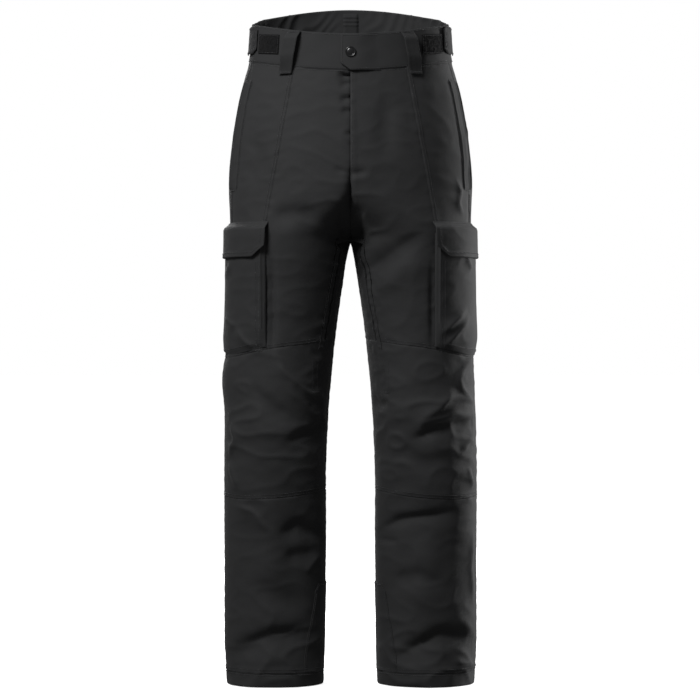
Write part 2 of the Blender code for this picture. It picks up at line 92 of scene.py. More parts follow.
RISE_TOP_Z, CROTCH_Z = -0.200, -0.312
HEM_STITCH_Z, HEM_Z = -1.009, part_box("hem_cuff_left")[0].z
OUTER_SIDE = stations(
    (85, 156), (39, 160), (-13, 164.5), (-46, 173.5), (-79, 182), (-111, 188), (-144, 193), (-209, 199),
    (-280, 197), (-400, 197.5), (-500, 201), (-635, 206), (-830, 206), (-962, 206), (-1031, 202),
)  # fmt: skip
INSEAM = stations(
    (-312, 0), (-340, 6.5), (-373, 11.5), (-439, 21.3), (-504, 28.6), (-569, 34.4), (-635, 38.4),
    (-700, 40), (-830, 40), (-1031, 44),
)  # fmt: skip
FRONT_DEPTH = stations(
    (85, 102), (0, 105), (-200, 125), (-312, 110), (-450, 98), (-620, 98), (-800, 78), (-1031, 83)
)
BACK_DEPTH = stations(
    (85, 112), (0, 116), (-90, 135), (-200, 150), (-312, 128), (-450, 112), (-620, 88), (-800, 105),
    (-1031, 97),
)  # fmt: skip
PRINCESS_SEAM = ((-0.04, 30.0), (-0.28, 28.0), (-0.40, 19.0), (-0.50, 18.0))
SIDE_SEAM = 74.0
FRONT_TOP_Z, FRONT_TOP_RISE = 0.020, 0.022
BACK_TOP_Z, BACK_TOP_DROP = 0.081, 0.028
FRONT_SEAM_Z, SIDE_SEAM_Z, BACK_SEAM_Z = -0.039, -0.0175, 0.018
BAND_SIDE_ANGLE = 85.0
TAB_FREE_X, TAB_HINGE_X = 0.0152, 0.045
SNAP_Z = -0.010
LOOP_WIDTH, LOOP_STAND_OFF = 0.0225, 0.0090
POCKET_START, POCKET_END = 20.0, 105.0
FLAP_TOP_Z, FLAP_BOTTOM_Z = -0.281, -0.338
POCKET_STAND_OFF, POCKET_FOOT, FLAP_OFFSET = 0.0072, 0.0012, 0.0103
HAND_SLOT, VENT_SLOT = 0.0056, 0.0040
HAND_ZIP_Z, HAND_SLOT_Z, HAND_SINK = (-0.056, -0.222), (-0.050, -0.228), -0.0050
VENT_ZIP_TOP, VENT_ZIP_BOTTOM, VENT_SINK = (0.0146, -0.303), (0.0480, -0.487), -0.0125
FLY_ZIP_Z = (-0.062, -0.205)

CELL = 3.6 * MM  # grid spacing of the cloth
EDGE_STEPS = np.array([0.0, 0.9, 2.0, 3.8]) * MM  # closer rows beside every seam
THICKNESS = 2.0 * MM
BAND_OFFSET, BAND_THICKNESS = 1.2 * MM, 2.6 * MM
TAB_OFFSET, TAB_RISE = 1.3 * MM, 4.1 * MM  # the waist tab's hinged end, and how far it climbs
SEAM_LAP, OVERLAP = 0.6 * MM, 0.3  # how far cloth runs on into a seam, in metres and in degrees


# ---- The cloth's base surface ----------------------------------------------------------


def smooth(curve, height):
    """Values on the smooth curve through stations, which are given highest first."""
    z, v = np.array(curve[::-1], float).T
    slope = np.empty_like(v)
    slope[1:-1] = (v[2:] - v[:-2]) / (z[2:] - z[:-2])
    slope[0], slope[-1] = (v[1] - v[0]) / (z[1] - z[0]), (v[-1] - v[-2]) / (z[-1] - z[-2])
    h = np.clip(height, z[0], z[-1])
    i = np.clip(np.searchsorted(z, h) - 1, 0, len(z) - 2)
    gap = z[i + 1] - z[i]
    t = (h - z[i]) / gap
    low = (1 + 2 * t) * (1 - t) ** 2 * v[i] + t * (1 - t) ** 2 * gap * slope[i]
    return low + t * t * (3 - 2 * t) * v[i + 1] + t * t * (t - 1) * gap * slope[i + 1]


def smoothstep(low, high, value):
    t = np.clip((value - low) / (high - low), 0.0, 1.0)
    return t * t * (3 - 2 * t)


def bump(centre, width, value):
    return np.exp(-(((value - centre) / width) ** 2))


def leg_slice(height):
    """Centre, half width, front depth and back depth of one leg's ellipse."""
    height = np.asarray(height, float)
    outer = smooth(OUTER_SIDE, height)
    merged = smoothstep(CROTCH_Z, RISE_TOP_Z, height)
    inner = np.where(height > CROTCH_Z, -outer * merged, smooth(INSEAM, height))
    return (outer + inner) / 2, (outer - inner) / 2, smooth(FRONT_DEPTH, height), smooth(BACK_DEPTH, height)


def place(side, angle, height, offset=0.0):
    """Points at angles and heights, an offset away from the base surface."""
    angle, height = np.broadcast_arrays(np.asarray(angle, float), np.asarray(height, float))
    centre, half, front, back = leg_slice(height)
    turn = np.radians(angle)
    depth = np.where(np.cos(turn) > 0, front, back) + offset
    across = centre + (half + offset) * np.sin(turn)
    return np.stack([side * across, -depth * np.cos(turn), height + 0.0 * depth], -1)


def outward(side, angle, height):
    """Level unit normals of the base surface."""
    _, half, front, back = leg_slice(height)
    turn = np.radians(angle)
    depth = np.where(np.cos(turn) > 0, front, back)
    normal = np.stack([side * np.sin(turn) / half, -np.cos(turn) / depth, 0.0 * depth], -1)
    return normal / np.linalg.norm(normal, axis=-1, keepdims=True)


def angle_at_x(across, height):
    """Front angle at which the cloth lies this far from the centre line."""
    centre, half, _, _ = leg_slice(height)
    return np.degrees(np.arcsin(np.clip((across - centre) / half, -1.0, 1.0)))


def arc_per_degree(angle, height):
    return np.linalg.norm(place(1, angle + 0.5, height) - place(1, angle - 0.5, height), axis=-1)


def beside(line, height, distance):
    """Angles a distance further round than a line, which gives its own angle at each height."""
    return line(height) + distance / arc_per_degree(line(height), height)


def always(value):
    return lambda other: np.full_like(np.asarray(other, float), value)


side_seam = always(SIDE_SEAM)


def centre_front(height):
    return np.where(height <= CROTCH_Z, -89.7, angle_at_x(0.0005, height))


def centre_back(height):
    return 180.0 - centre_front(height)


def princess_seam(height):
    """Runs straight and slanted to the cargo flap, then down behind the pocket's front edge."""
    straight = angle_at_x(0.0915 + 0.1830 * (-0.040 - height), height)
    below = smoothstep(-0.262, -0.300, height)
    return straight + (smooth(PRINCESS_SEAM, height) - straight) * below


def vent_x(height):
    (x0, z0), (x1, z1) = VENT_ZIP_TOP, VENT_ZIP_BOTTOM
    return x0 + (x1 - x0) * (z0 - height) / (z0 - z1)


def vent_line(height):
    return angle_at_x(vent_x(height), height)


def vent_edge(way, crotch_x):
    """One of the vent's two edges. They meet near the crotch and part below it."""
    def edge(height):
        parted = smoothstep(-0.297, -0.324, height)
        return angle_at_x(crotch_x + (vent_x(height) + way * VENT_SLOT - crotch_x) * parted, height)

    return edge


vent_inner, vent_outer = vent_edge(-1, 0.0014), vent_edge(1, 0.0022)


def front_edge(height):
    return np.where(height < -0.298, vent_outer(height), centre_front(height))


def hand_edge(way):
    """The side seam, which parts round the hand pocket's slot."""
    def edge(height):
        high, low = HAND_SLOT_Z[1] + 0.004, HAND_SLOT_Z[0] - 0.004
        slot = smoothstep(high - 0.004, high, height) * smoothstep(low + 0.004, low, height)
        gap = (HAND_SLOT / arc_per_degree(side_seam(height), height) + OVERLAP) * slot - OVERLAP
        return SIDE_SEAM + way * gap

    return edge


def mirrored(angle):
    return np.minimum(angle, 360.0 - angle)


def turned(angle):
    """The same angle, from -90 at the inseam to 180."""
    return np.where(angle > 180, angle - 360.0, angle)


def band_top(angle):
    rise = np.sin(np.radians(angle)) ** 2
    front = FRONT_TOP_Z + FRONT_TOP_RISE * rise
    corner = 0.008 * smoothstep(118.0, 88.0, mirrored(angle))
    return np.where(mirrored(angle) <= BAND_SIDE_ANGLE, front, BACK_TOP_Z - BACK_TOP_DROP * rise - corner)


def band_seam(angle):
    turn = np.radians(angle)
    end = np.where(np.cos(turn) > 0, FRONT_SEAM_Z, BACK_SEAM_Z)
    return end + (SIDE_SEAM_Z - end) * np.sin(turn) ** 2


def upper_knee(angle):
    """Cross seam above the knee. It climbs towards the inseam and is level behind."""
    inner = smoothstep(10.0, -85.0, turned(angle))
    back = smoothstep(90.0, 150.0, angle) * smoothstep(270.0, 215.0, angle)
    front = -0.500 + 0.017 * smoothstep(70.0, -10.0, angle) + 0.014 * inner
    return np.where(angle > 90, -0.500 + 0.031 * smoothstep(215.0, 270.0, angle), front) + 0.004 * back


def lower_knee(angle):
    return -0.7245 + 0.010 * smoothstep(0.0, -85.0, turned(angle)) - 0.004 * bump(35.0, 40.0, turned(angle))


# ---- Noise and folds -------------------------------------------------------------------

_rng = np.random.default_rng(7)
GRADIENTS = _rng.normal(size=(256, 3))
GRADIENTS /= np.linalg.norm(GRADIENTS, axis=1, keepdims=True)
SHUFFLE = _rng.permutation(256)


def noise(points, size, seed=0):
    """Smooth gradient noise, about -1 to 1. size is the length of one cell, or one each way."""
    p = points / np.asarray(size, float) + 31.7 * seed
    cell = np.floor(p).astype(int)
    f = p - cell
    fade = f * f * f * (f * (f * 6 - 15) + 10)
    total = np.zeros(p.shape[:-1])
    for corner in np.ndindex(2, 2, 2):
        at = cell + corner
        key = SHUFFLE[(SHUFFLE[(SHUFFLE[at[..., 0] & 255] + at[..., 1]) & 255] + at[..., 2]) & 255]
        weight = np.prod(np.where(corner, fade, 1 - fade), axis=-1)
        total += weight * np.einsum("...i,...i", GRADIENTS[key], f - corner)
    return 1.6 * total


def ridges(points, size, seed=0):
    """Noise with crisp crests, 0 to 1."""
    return np.clip(1 - 2.2 * np.abs(noise(points, size, seed)), 0, 1) ** 2


# Each fold is (rise, width, lean, power, then the points of its line), in millimetres. A point
# is (distance from the centre line, height), and a negative rise is a valley. lean makes its
# upper or outer flank steeper (or, if negative, the other one), and power 2 is rounded while
# 1 has a sharp crest.
RIGHT_FOLDS = (
    (-3.5, 15, 0.2, 2, (129, -274), (81, -268), (49, -271)),
    (-1.6, 5, 0.0, 1.2, (-14, -208), (28, -198)),
    (-4.2, 4, 0.3, 1.2, (-16, -48), (6, -49), (20, -45)),
    (-3.0, 4, -0.3, 1.2, (-14, -63), (5, -60), (17, -66)),
    (-3.4, 4, 0.3, 1.2, (-16, -85), (5, -83), (18, -88)),
    (-2.8, 4, 0.2, 1.2, (-14, -104), (4, -106), (14, -102)),
    (-2.2, 4, 0.0, 1.2, (-14, -144), (10, -141)),
    (-3.4, 10, 0.4, 1.4, (103, -635), (72, -622), (44, -608)),
    (2.2, 4, 0.2, 1.1, (47, -595), (39, -621)),
    (2.8, 6, 0.0, 1.1, (194, -606), (184, -632), (193, -650), (197, -664)),
    (2.4, 7, 0.0, 1.2, (196, -668), (190, -690), (181, -711)),
    (2.2, 6, 0.4, 1.1, (193, -738), (160, -745), (150, -752), (131, -783)),
    (-4.2, 12, 0.5, 1.5, (115, -786), (83, -764), (42, -789)),
    (-2.6, 12, 0.3, 1.6, (107, -820), (54, -812)),
    (1.8, 5, -0.3, 1.1, (49, -820), (73, -848)),
    (-6.0, 15, 0.4, 1.5, (200, -978), (153, -956), (128, -945), (66, -940)),
    (2.6, 5, 0.3, 1.1, (120, -507), (71, -555), (47, -566), (39, -568)),
    (-3.6, 7, -0.5, 1.4, (126, -335), (124, -410), (124, -497)),
    (2.6, 6, 0.3, 1.1, (178, -452), (168, -472), (148, -489)),
    (2.6, 6, 0.3, 1.1, (198, -434), (179, -449)),
    (2.0, 6, 0.0, 1.2, (198, -369), (185, -350)),
    (-2.5, 14, 0.2, 2, (170, -545), (120, -585), (90, -600)),
    (-2.2, 16, 0.0, 2, (160, -860), (110, -890), (70, -900)),
    (3.0, 22, 0.0, 2, (130, -700), (128, -800), (135, -900)),
    (-2.0, 16, 0.0, 2, (160, -130), (150, -180), (160, -230)),
)
LEFT_FOLDS = (
    (-3.6, 22, 0.5, 1.5, (18, -366), (50, -343), (85, -318), (120, -299)),
    (2.4, 18, 0.0, 2, (40, -390), (80, -360), (120, -350)),
    (-1.8, 5, 0.0, 1.2, (-14, -208), (27, -203)),
    (-2.2, 7, 0.3, 1.3, (4, -258), (20, -270)),
    (-5.5, 11, 0.5, 1.3, (98, -632), (120, -620), (144, -608), (202, -600)),
    (3.2, 9, -0.3, 1.3, (110, -606), (121, -595), (145, -580), (168, -550)),
    (-2.6, 5, 0.0, 1.1, (37, -560), (44, -577), (62, -573)),
    (2.6, 8, 0.2, 1.1, (201, -492), (182, -516), (172, -540)),
    (2.6, 8, -0.2, 1.1, (172, -528), (180, -552), (199, -574)),
    (2.4, 8, 0.2, 1.1, (203, -618), (188, -640), (178, -655)),
    (2.6, 6, 0.2, 1.1, (189, -678), (198, -712)),
    (-4.4, 11, 0.5, 1.4, (44, -782), (75, -760), (120, -752), (172, -745)),
    (-1.6, 6, 0.2, 1.3, (44, -794), (78, -797)),
    (-7.0, 16, 0.4, 1.4, (73, -985), (110, -960), (147, -942), (203, -955)),
    (2.6, 6, 0.0, 1.1, (165, -990), (202, -1000)),
    (3.0, 6, 0.3, 1.1, (143, -461), (160, -444), (180, -422)),
    (3.0, 6, 0.3, 1.1, (147, -487), (164, -463), (185, -434)),
    (2.2, 6, 0.0, 1.1, (180, -337), (188, -358)),
    (2.0, 5, 0.0, 1.1, (169, -210), (178, -232), (172, -250), (182, -270)),
    (-2.6, 6, -0.4, 1.4, (131, -340), (130, -410), (131, -488)),
    (2.2, 7, 0.0, 1.2, (199, -780), (194, -840), (199, -900)),
    (2.2, 8, 0.0, 1.2, (190, -110), (184, -150), (190, -195)),
    (-2.6, 16, 0.2, 2, (70, -640), (110, -665), (160, -670)),
    (-2.2, 14, 0.2, 2, (60, -860), (110, -850), (150, -870)),
    (3.0, 22, 0.0, 2, (120, -790), (122, -850), (115, -910)),
    (-2.2, 16, 0.0, 2, (60, -180), (55, -120), (65, -80)),
)
BACK_FOLDS = (
    (-6.0, 16, 0.4, 1.5, (12, -318), (60, -345), (120, -345), (165, -325)),
    (-3.0, 12, 0.3, 1.5, (20, -372), (70, -392), (130, -385)),
    (2.5, 30, 0.0, 2, (80, -180), (90, -240), (90, -290)),
    (-3.0, 9, 0.3, 1.4, (2, -262), (30, -285), (55, -300)),
    (-4.5, 10, 0.4, 1.4, (45, -575), (90, -592), (150, -580), (195, -560)),
    (-5.5, 11, 0.4, 1.4, (50, -622), (100, -632), (150, -626), (200, -640)),
    (3.2, 9, -0.2, 1.3, (60, -600), (110, -610), (170, -602)),
    (-4.0, 10, 0.3, 1.4, (60, -672), (110, -664), (165, -680)),
    (-3.4, 12, 0.3, 1.5, (55, -800), (110, -825), (190, -812)),
    (-5.5, 15, 0.4, 1.4, (55, -935), (110, -955), (190, -930)),
    (-3.6, 12, 0.3, 1.4, (70, -978), (130, -972), (185, -985)),
    (-2.6, 10, 0.3, 1.4, (100, -480), (140, -462), (185, -470)),
)
FOLD_GAIN, CRUMPLE_GAIN = 1.75, 1.35


def fold_points(line, side, behind):
    """Close points along a fold on the base surface, with their tangents and cross directions."""
    across, height = stations(*line).T
    length = np.concatenate([[0], np.cumsum(np.hypot(np.diff(across), np.diff(height)))])
    fine = np.linspace(0, length[-1], max(8, int(length[-1] / 0.004)))
    across, height = np.interp(fine, length, across), np.interp(fine, length, height)
    for _ in range(3):  # rounds the line's corners
        for values in (across, height):
            values[1:-1] = (values[:-2] + 2 * values[1:-1] + values[2:]) / 4
    angle = angle_at_x(across, height)
    angle = 180.0 - angle if behind else angle
    points = place(side, angle, height)
    tangent = np.gradient(points, axis=0)
    tangent /= np.linalg.norm(tangent, axis=1, keepdims=True)
    crosswise = np.cross(outward(side, angle, height), tangent)
    crosswise *= np.sign(crosswise[:, 2:3] + 0.5 * side * crosswise[:, :1])
    return points, tangent, crosswise


FOLD_LINES = {
    side: [
        (fold[:4], *fold_points(fold[4:], side, behind))
        for folds, behind in ((own, False), (BACK_FOLDS, True))
        for fold in folds
    ]
    for side, own in ((-1, RIGHT_FOLDS), (1, LEFT_FOLDS))
}


def fold_height(base, shape, points, tangent, crosswise):
    """What one fold adds at base points, which are given as a flat list."""
    rise, width, lean, power = shape
    total = np.zeros(len(base))
    reach = 3.2 * width * MM
    near = np.all((base > points.min(0) - reach) & (base < points.max(0) + reach), axis=1)
    if not near.any():
        return total
    gap = base[near][:, None, :] - points[None]
    nearest = np.argmin(np.einsum("ijk,ijk->ij", gap, gap), axis=1)
    gap = gap[np.arange(len(nearest)), nearest]
    along = np.einsum("ij,ij->i", gap, tangent[nearest])
    over = np.einsum("ij,ij->i", gap, crosswise[nearest])
    share = (nearest + along / np.linalg.norm(points[1] - points[0])) / (len(points) - 1)
    flank = width * MM * (1 - lean * np.sign(over))
    run = np.sqrt((over / flank) ** 2 + 0.006) - 0.077
    ends = smoothstep(-0.08, 0.30, share) * smoothstep(1.08, 0.70, share)
    total[near] = rise * MM * ends * np.exp(-(run**power))
    return total


def relief(side, angle, height):
    """How far folds and creases move the cloth outwards."""
    angle, height = np.broadcast_arrays(np.asarray(angle, float), np.asarray(height, float))
    base = place(side, angle.ravel(), height.ravel())
    z, turn = base[:, 2], np.radians(angle.ravel())
    across, facing, side_on = np.abs(base[:, 0]), np.cos(turn), np.abs(np.sin(turn))
    total = np.zeros(len(base))
    for line in FOLD_LINES[side]:
        total += FOLD_GAIN * fold_height(base, *line)

    knee, hem = bump(-0.610, 0.085, z), smoothstep(-0.88, -0.97, z)
    crotch = smoothstep(0.075, 0.0, across) * bump(-0.300, 0.055, z)
    behind = smoothstep(0.2, -0.4, facing)
    strength = 0.35 + 0.75 * knee + 0.7 * hem + 1.1 * crotch + 0.55 * behind * (knee + hem)
    strength *= 1 - 0.45 * smoothstep(0.80, 0.98, side_on)
    seed = 3 if side > 0 else 5
    wide = noise(base, (0.070, 0.070, 0.050), seed) * 1.7
    crisp = ridges(base, (0.060, 0.060, 0.032), seed + 1) * 2.2 - 0.5
    small = noise(base, (0.022, 0.022, 0.015), seed + 2) * 0.40

    # Crumples beside the vent's cover.
    crumpled = bump(0.0, 0.016, across - np.interp(-z, (0.30, 0.56), (0.012, 0.056))) * (facing > 0)
    crumpled *= smoothstep(-0.31, -0.36, z) * smoothstep(-0.63, -0.55, z)
    crumples = 1.3 * noise(base, (0.016, 0.016, 0.011), seed + 7)
    crumples += 1.2 * ridges(base, (0.03, 0.03, 0.012), seed + 8)
    total += MM * crumpled * crumples
    calm = 1 - smoothstep(-0.09, -0.03, z)
    total += CRUMPLE_GAIN * MM * calm * (strength * (wide + crisp * 0.8 + small) + 0.25 * small)

    # The centre seam pulls the cloth in below the fly, deeper towards the crotch.
    sunk = smoothstep(-0.184, -0.285, z) * smoothstep(-0.338, -0.314, z)
    reach = 0.0036 + 0.0130 * sunk * smoothstep(-0.215, -0.288, z)
    total -= 30.0 * MM * sunk * np.exp(-((across / reach) ** 1.4)) * np.abs(facing)
    flat = smoothstep(0.90, 0.995, side_on)
    total *= 1 - np.where(total > 0, 0.75, 0.45) * flat
    if side < 0:  # the cloth above the right knee stands out sideways
        total += 7.5 * MM * bump(-0.532, 0.042, z) * smoothstep(0.55, 1.0, np.sin(turn))
    return total.reshape(angle.shape)


def seam_effect(side, angle, height, distance, lap):
    """The roll of cloth into a seam, its puckers, and the raised strip where it is lapped."""
    base = place(side, angle, height)
    total = noise(base, (0.011, 0.011, 0.008), 11) * 0.85 * MM * np.exp(-distance / 0.009)
    total = total - 0.7 * MM * np.exp(-((distance / 0.0014) ** 2))
    if side < 0:  # the right panel's centre edge lies under the left one's
        total = total - 1.3 * MM * (np.abs(base[..., 0]) < 0.012) * np.exp(-distance / 0.0030)
    return total + (0.7 * MM * smoothstep(0.0088, 0.0074, distance) if lap else 0.0)


# ---- Meshes ----------------------------------------------------------------------------


def build(name, points, faces, materials, uv=None, second=0, sharp=55.0):
    """Links a closed mesh. Its faces from `second` on take the second material."""
    mesh = bpy.data.meshes.new(name)
    points = np.asarray(points, float).reshape(-1, 3)
    mesh.from_pydata(points.tolist(), [], [list(map(int, face)) for face in faces])
    for material in materials:
        mesh.materials.append(material)
    if second:
        index = np.zeros(len(faces), np.int32)
        index[second:] = 1
        mesh.polygons.foreach_set("material_index", index)
    solid = bmesh.new()
    solid.from_mesh(mesh)
    bmesh.ops.recalc_face_normals(solid, faces=solid.faces)
    solid.to_mesh(mesh)
    solid.free()
    if uv is not None:
        layer = mesh.uv_layers.new(name="cloth")
        corner = np.empty(len(mesh.loops), np.int32)
        mesh.loops.foreach_get("vertex_index", corner)
        layer.data.foreach_set("uv", np.asarray(uv, float).reshape(-1, 2)[corner].ravel())
    mesh.shade_smooth()
    mesh.set_sharp_from_angle(angle=math.radians(sharp))
    made = bpy.data.objects.new(name, mesh)
    bpy.context.collection.objects.link(made)
    return made


def shell(name, outer, inner, materials, uv, closed=False, sharp=55.0):
    """Closed sheet from two matching grids of points. Its inner face takes the second material."""
    rows, columns = outer.shape[:2]
    count = rows * columns
    index = np.arange(count).reshape(rows, columns)
    if closed:
        index = np.concatenate([index, index[:, :1]], axis=1)
    quads = np.stack([index[:-1, :-1], index[:-1, 1:], index[1:, 1:], index[1:, :-1]], -1).reshape(-1, 4)
    rims = [index[0], index[-1]] + ([] if closed else [index[:, 0], index[:, -1]])
    around = [np.stack([r[:-1], r[1:], r[1:] + count, r[:-1] + count], -1) for r in rims]
    faces = np.concatenate([quads, *around, quads[:, ::-1] + count])
    points = np.concatenate([outer.reshape(-1, 3), inner.reshape(-1, 3)])
    second = len(faces) - len(quads) if len(materials) > 1 else 0
    return build(name, points, faces, materials, np.concatenate([uv.reshape(-1, 2)] * 2), second, sharp)


def shares(length, step):
    """Places from 0 to 1 along a length, closer together beside both ends."""
    margin = EDGE_STEPS[-1]
    if length < 4 * margin:
        return np.linspace(0, 1, max(3, int(length / 0.0018)))
    inner = np.linspace(margin, length - margin, max(2, round((length - 2 * margin) / step)) + 1)
    return np.concatenate([EDGE_STEPS[:-1], inner, length - EDGE_STEPS[-2::-1]]) / length


class Patch(namedtuple("Outline", "side start end bottom top angle height")):
    """Angles and heights within four edges: start and end by height, bottom and top by angle."""

    def at(self, angle, height):
        """Other places within the same edges."""
        return self._replace(angle=angle, height=height)

    def points(self, offset=0.0):
        return place(self.side, self.angle, self.height, offset)

    def relief(self):
        return relief(self.side, self.angle, self.height)

    def edges(self):
        """Distances to the start, end, bottom and top edges."""
        arc = arc_per_degree(self.angle, self.height)
        before, after = self.angle - self.start(self.height), self.end(self.height) - self.angle
        below, above = self.height - self.bottom(self.angle), self.top(self.angle) - self.height
        return before * arc, after * arc, below, above

    def near(self):
        return np.minimum.reduce(self.edges())


def patch(side, start, end, bottom, top, step=CELL, closed=False):
    """Grid of angles and heights between two side edges and two level ones."""
    middle = np.array([(float(bottom(np.array([90.0]))[0]) + float(top(np.array([90.0]))[0])) / 2])
    edges = float(start(middle)[0]), float(end(middle)[0])
    here = np.linspace(*edges, 60)
    width = float(np.sum(arc_per_degree(here, middle)) * (edges[1] - edges[0]) / 60)
    tall = float(np.max(top(here) - bottom(here)))
    u = np.linspace(0, 1, round(width / step) + 1)[:-1] if closed else shares(width, step)
    u, v = np.meshgrid(u, shares(tall, step))
    height = np.full_like(u, middle[0])
    for _ in range(8):
        angle = start(height) + (end(height) - start(height)) * u
        height = bottom(angle) + (top(angle) - bottom(angle)) * v
    return Patch(side, start, end, bottom, top, angle, height)


def cloth(name, p, lift, thickness, materials, soft=0.0, closed=False, sharp=55.0, trim=None):
    """Sheet over a patch, with its outer face lifted off the base surface. soft is how far both
    faces draw in at rounded edges, and trim moves the points of each face in place."""
    faces = p.points(lift - soft), p.points(lift - thickness + soft)
    for points in faces:
        if trim:
            trim(points)
    uv = np.stack([np.radians(p.angle) * 0.105, p.height], -1)
    return shell(name, *faces, materials, uv, closed, sharp)


def rounded(p, radius, depth, free="oooo"):
    """How far each face draws in within a radius of the edges marked o."""
    near = np.minimum.reduce([gap for kind, gap in zip(free, p.edges()) if kind == "o"])
    return depth * (1 - np.sqrt(1 - (1 - np.clip(near / radius, 0, 1)) ** 2))


def meet(side, points, distance):
    """Draws a panel's centre edge to the middle, and keeps the legs out of each other."""
    points[..., 0] = side * np.maximum(side * points[..., 0], 0.0004)
    above = smoothstep(CROTCH_Z - 0.004, CROTCH_Z + 0.002, points[..., 2])
    column = np.argmin(distance, axis=1)
    gap = points[np.arange(len(points)), column, 0][:, None] + 0.0002 * side
    points[..., 0] -= gap * above * np.exp(-((distance / 0.007) ** 2))


def panel(name, p, materials, seams="....", offset=0.0, thickness=THICKNESS):
    """Cloth panel over a patch. seams says how each edge (start, end, bottom, top) is sewn:
    s is a plain seam, l a lapped one, c or d one of those on the centre line, and . a free edge."""
    lift = offset + p.relief()
    for kind, distance in zip(seams, p.edges()):
        if kind != ".":
            lift = lift + seam_effect(p.side, p.angle, p.height, np.maximum(distance, 0), kind in "ld")

    def trim(points):
        for kind, distance in zip(seams, p.edges()):
            if kind in "cd":
                meet(p.side, points, distance)

    return cloth(name, p, lift, thickness, materials, trim=trim)


def dress(made, slot, *nodes, held="", on=""):
    """Hides the CAD nodes that a piece stands for. slot, held and on are not used."""
    if nodes:
        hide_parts(*nodes)


def settle(made, body, *rest, **sheet):
    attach(made, body)
    dress(made, *rest, **sheet)


# ---- Stitching -------------------------------------------------------------------------

PITCH, STITCH = 3.3 * MM, (2.6 * MM, 0.8 * MM, 0.45 * MM)
TWO_ROWS = (1.9 * MM, 6.4 * MM)  # distances of the usual rows from their seam
EDGE_ROW = 2.6 * MM  # distance of a row from a free edge
stitches = {}


def sew(zone, side, angle, height, offset=0.0, lift=0.25 * MM, folded=True, pitch=PITCH):
    """Adds a row of stitches along a line of angles and heights to a zone's stitching."""
    angle, height = np.broadcast_arrays(np.asarray(angle, float), np.asarray(height, float))
    path = place(side, angle, height, offset + lift + (relief(side, angle, height) if folded else 0.0))
    length = np.concatenate([[0], np.cumsum(np.linalg.norm(np.diff(path, axis=0), axis=1))])
    at = np.arange(0.5 * pitch, length[-1], pitch)
    pick = lambda values: np.stack([np.interp(at, length, values[:, k]) for k in range(3)], -1)
    along = pick(np.gradient(path, length, axis=0))
    along /= np.linalg.norm(along, axis=1, keepdims=True)
    stitches.setdefault(zone, []).append((pick(path), along, pick(outward(side, angle, height))))


def sew_on(zone, p, rows, lift_at):
    """Rows of (angles, heights) on a piece whose own lift a function gives."""
    for angle, height in rows:
        sew(zone, p.side, angle, height, lift_at(p.at(angle, height)), folded=False)


def even(ends, step):
    return np.linspace(*ends, max(8, int(abs(ends[1] - ends[0]) / step)))


def seam_rows(zone, side, line, heights, way, rows=TWO_ROWS, lap=True):
    """Stitch rows beside an up-and-down seam. way is +1 for the cloth after it, -1 before."""
    z = even(heights, 0.004)
    for distance in rows:
        angle = beside(line, z, way * distance)
        sew(zone, side, angle, z, seam_effect(side, angle, z, distance, lap))


def cross_rows(zone, side, line, angles, way, rows=TWO_ROWS, lap=True):
    """Stitch rows beside a seam that runs round the leg. way is +1 above it, -1 below."""
    angle = even(angles, 1.5)
    for distance in rows:
        z = line(angle) + way * distance
        sew(zone, side, angle, z, seam_effect(side, angle, z, distance, lap))


def rods(name, middle, along, normal, size, material, shoulder):
    """Many short rods with pointed ends, full up to a shoulder at that share of their half length."""
    length, width, height = size
    across = np.cross(along, normal)
    ring = [across * width / 2, normal * height, -across * width / 2, -normal * height]
    reach = along * length / 2
    corners = [middle - reach] + [middle - shoulder * reach + r for r in ring]
    corners += [middle + shoulder * reach + r for r in ring] + [middle + reach]
    around = [(i, (i + 1) % 4) for i in range(4)]
    faces = [(0, 1 + i, 1 + j) for i, j in around] + [(9, 5 + j, 5 + i) for i, j in around]
    faces += [(1 + j, 1 + i, 5 + i, 5 + j) for i, j in around]
    every = [tuple(10 * k + c for c in face) for k in range(len(middle)) for face in faces]
    return build(name, np.stack(corners, axis=1), every, [material], sharp=180.0)


def stitching(name, zone):
    middle, along, normal = (np.concatenate(part) for part in zip(*stitches[zone]))
    return rods(f"stitching_{name}", middle, along, normal, STITCH, THREAD, 0.45)


# ---- Materials -------------------------------------------------------------------------


class Nodes:
    """Short calls for the nodes of one tree. A value is a number or another node's output."""

    def __init__(self, tree):
        self.tree = tree

    def feed(self, socket, value):
        if isinstance(value, bpy.types.NodeSocket):
            self.tree.links.new(value, socket)
        else:
            socket.default_value = value

    def add(self, kind, **values):
        node = self.tree.nodes.new(f"ShaderNode{kind}")
        for name, value in values.items():
            self.feed(node.inputs[name], value)
        return node

    def combine(self, operation, first, second):
        node = self.add("Math")
        node.operation = operation
        self.feed(node.inputs[0], first)
        self.feed(node.inputs[1], second)
        return node.outputs[0]

    def scaled(self, value, gain, base):
        return self.combine("ADD", base, self.combine("MULTIPLY", value, gain))


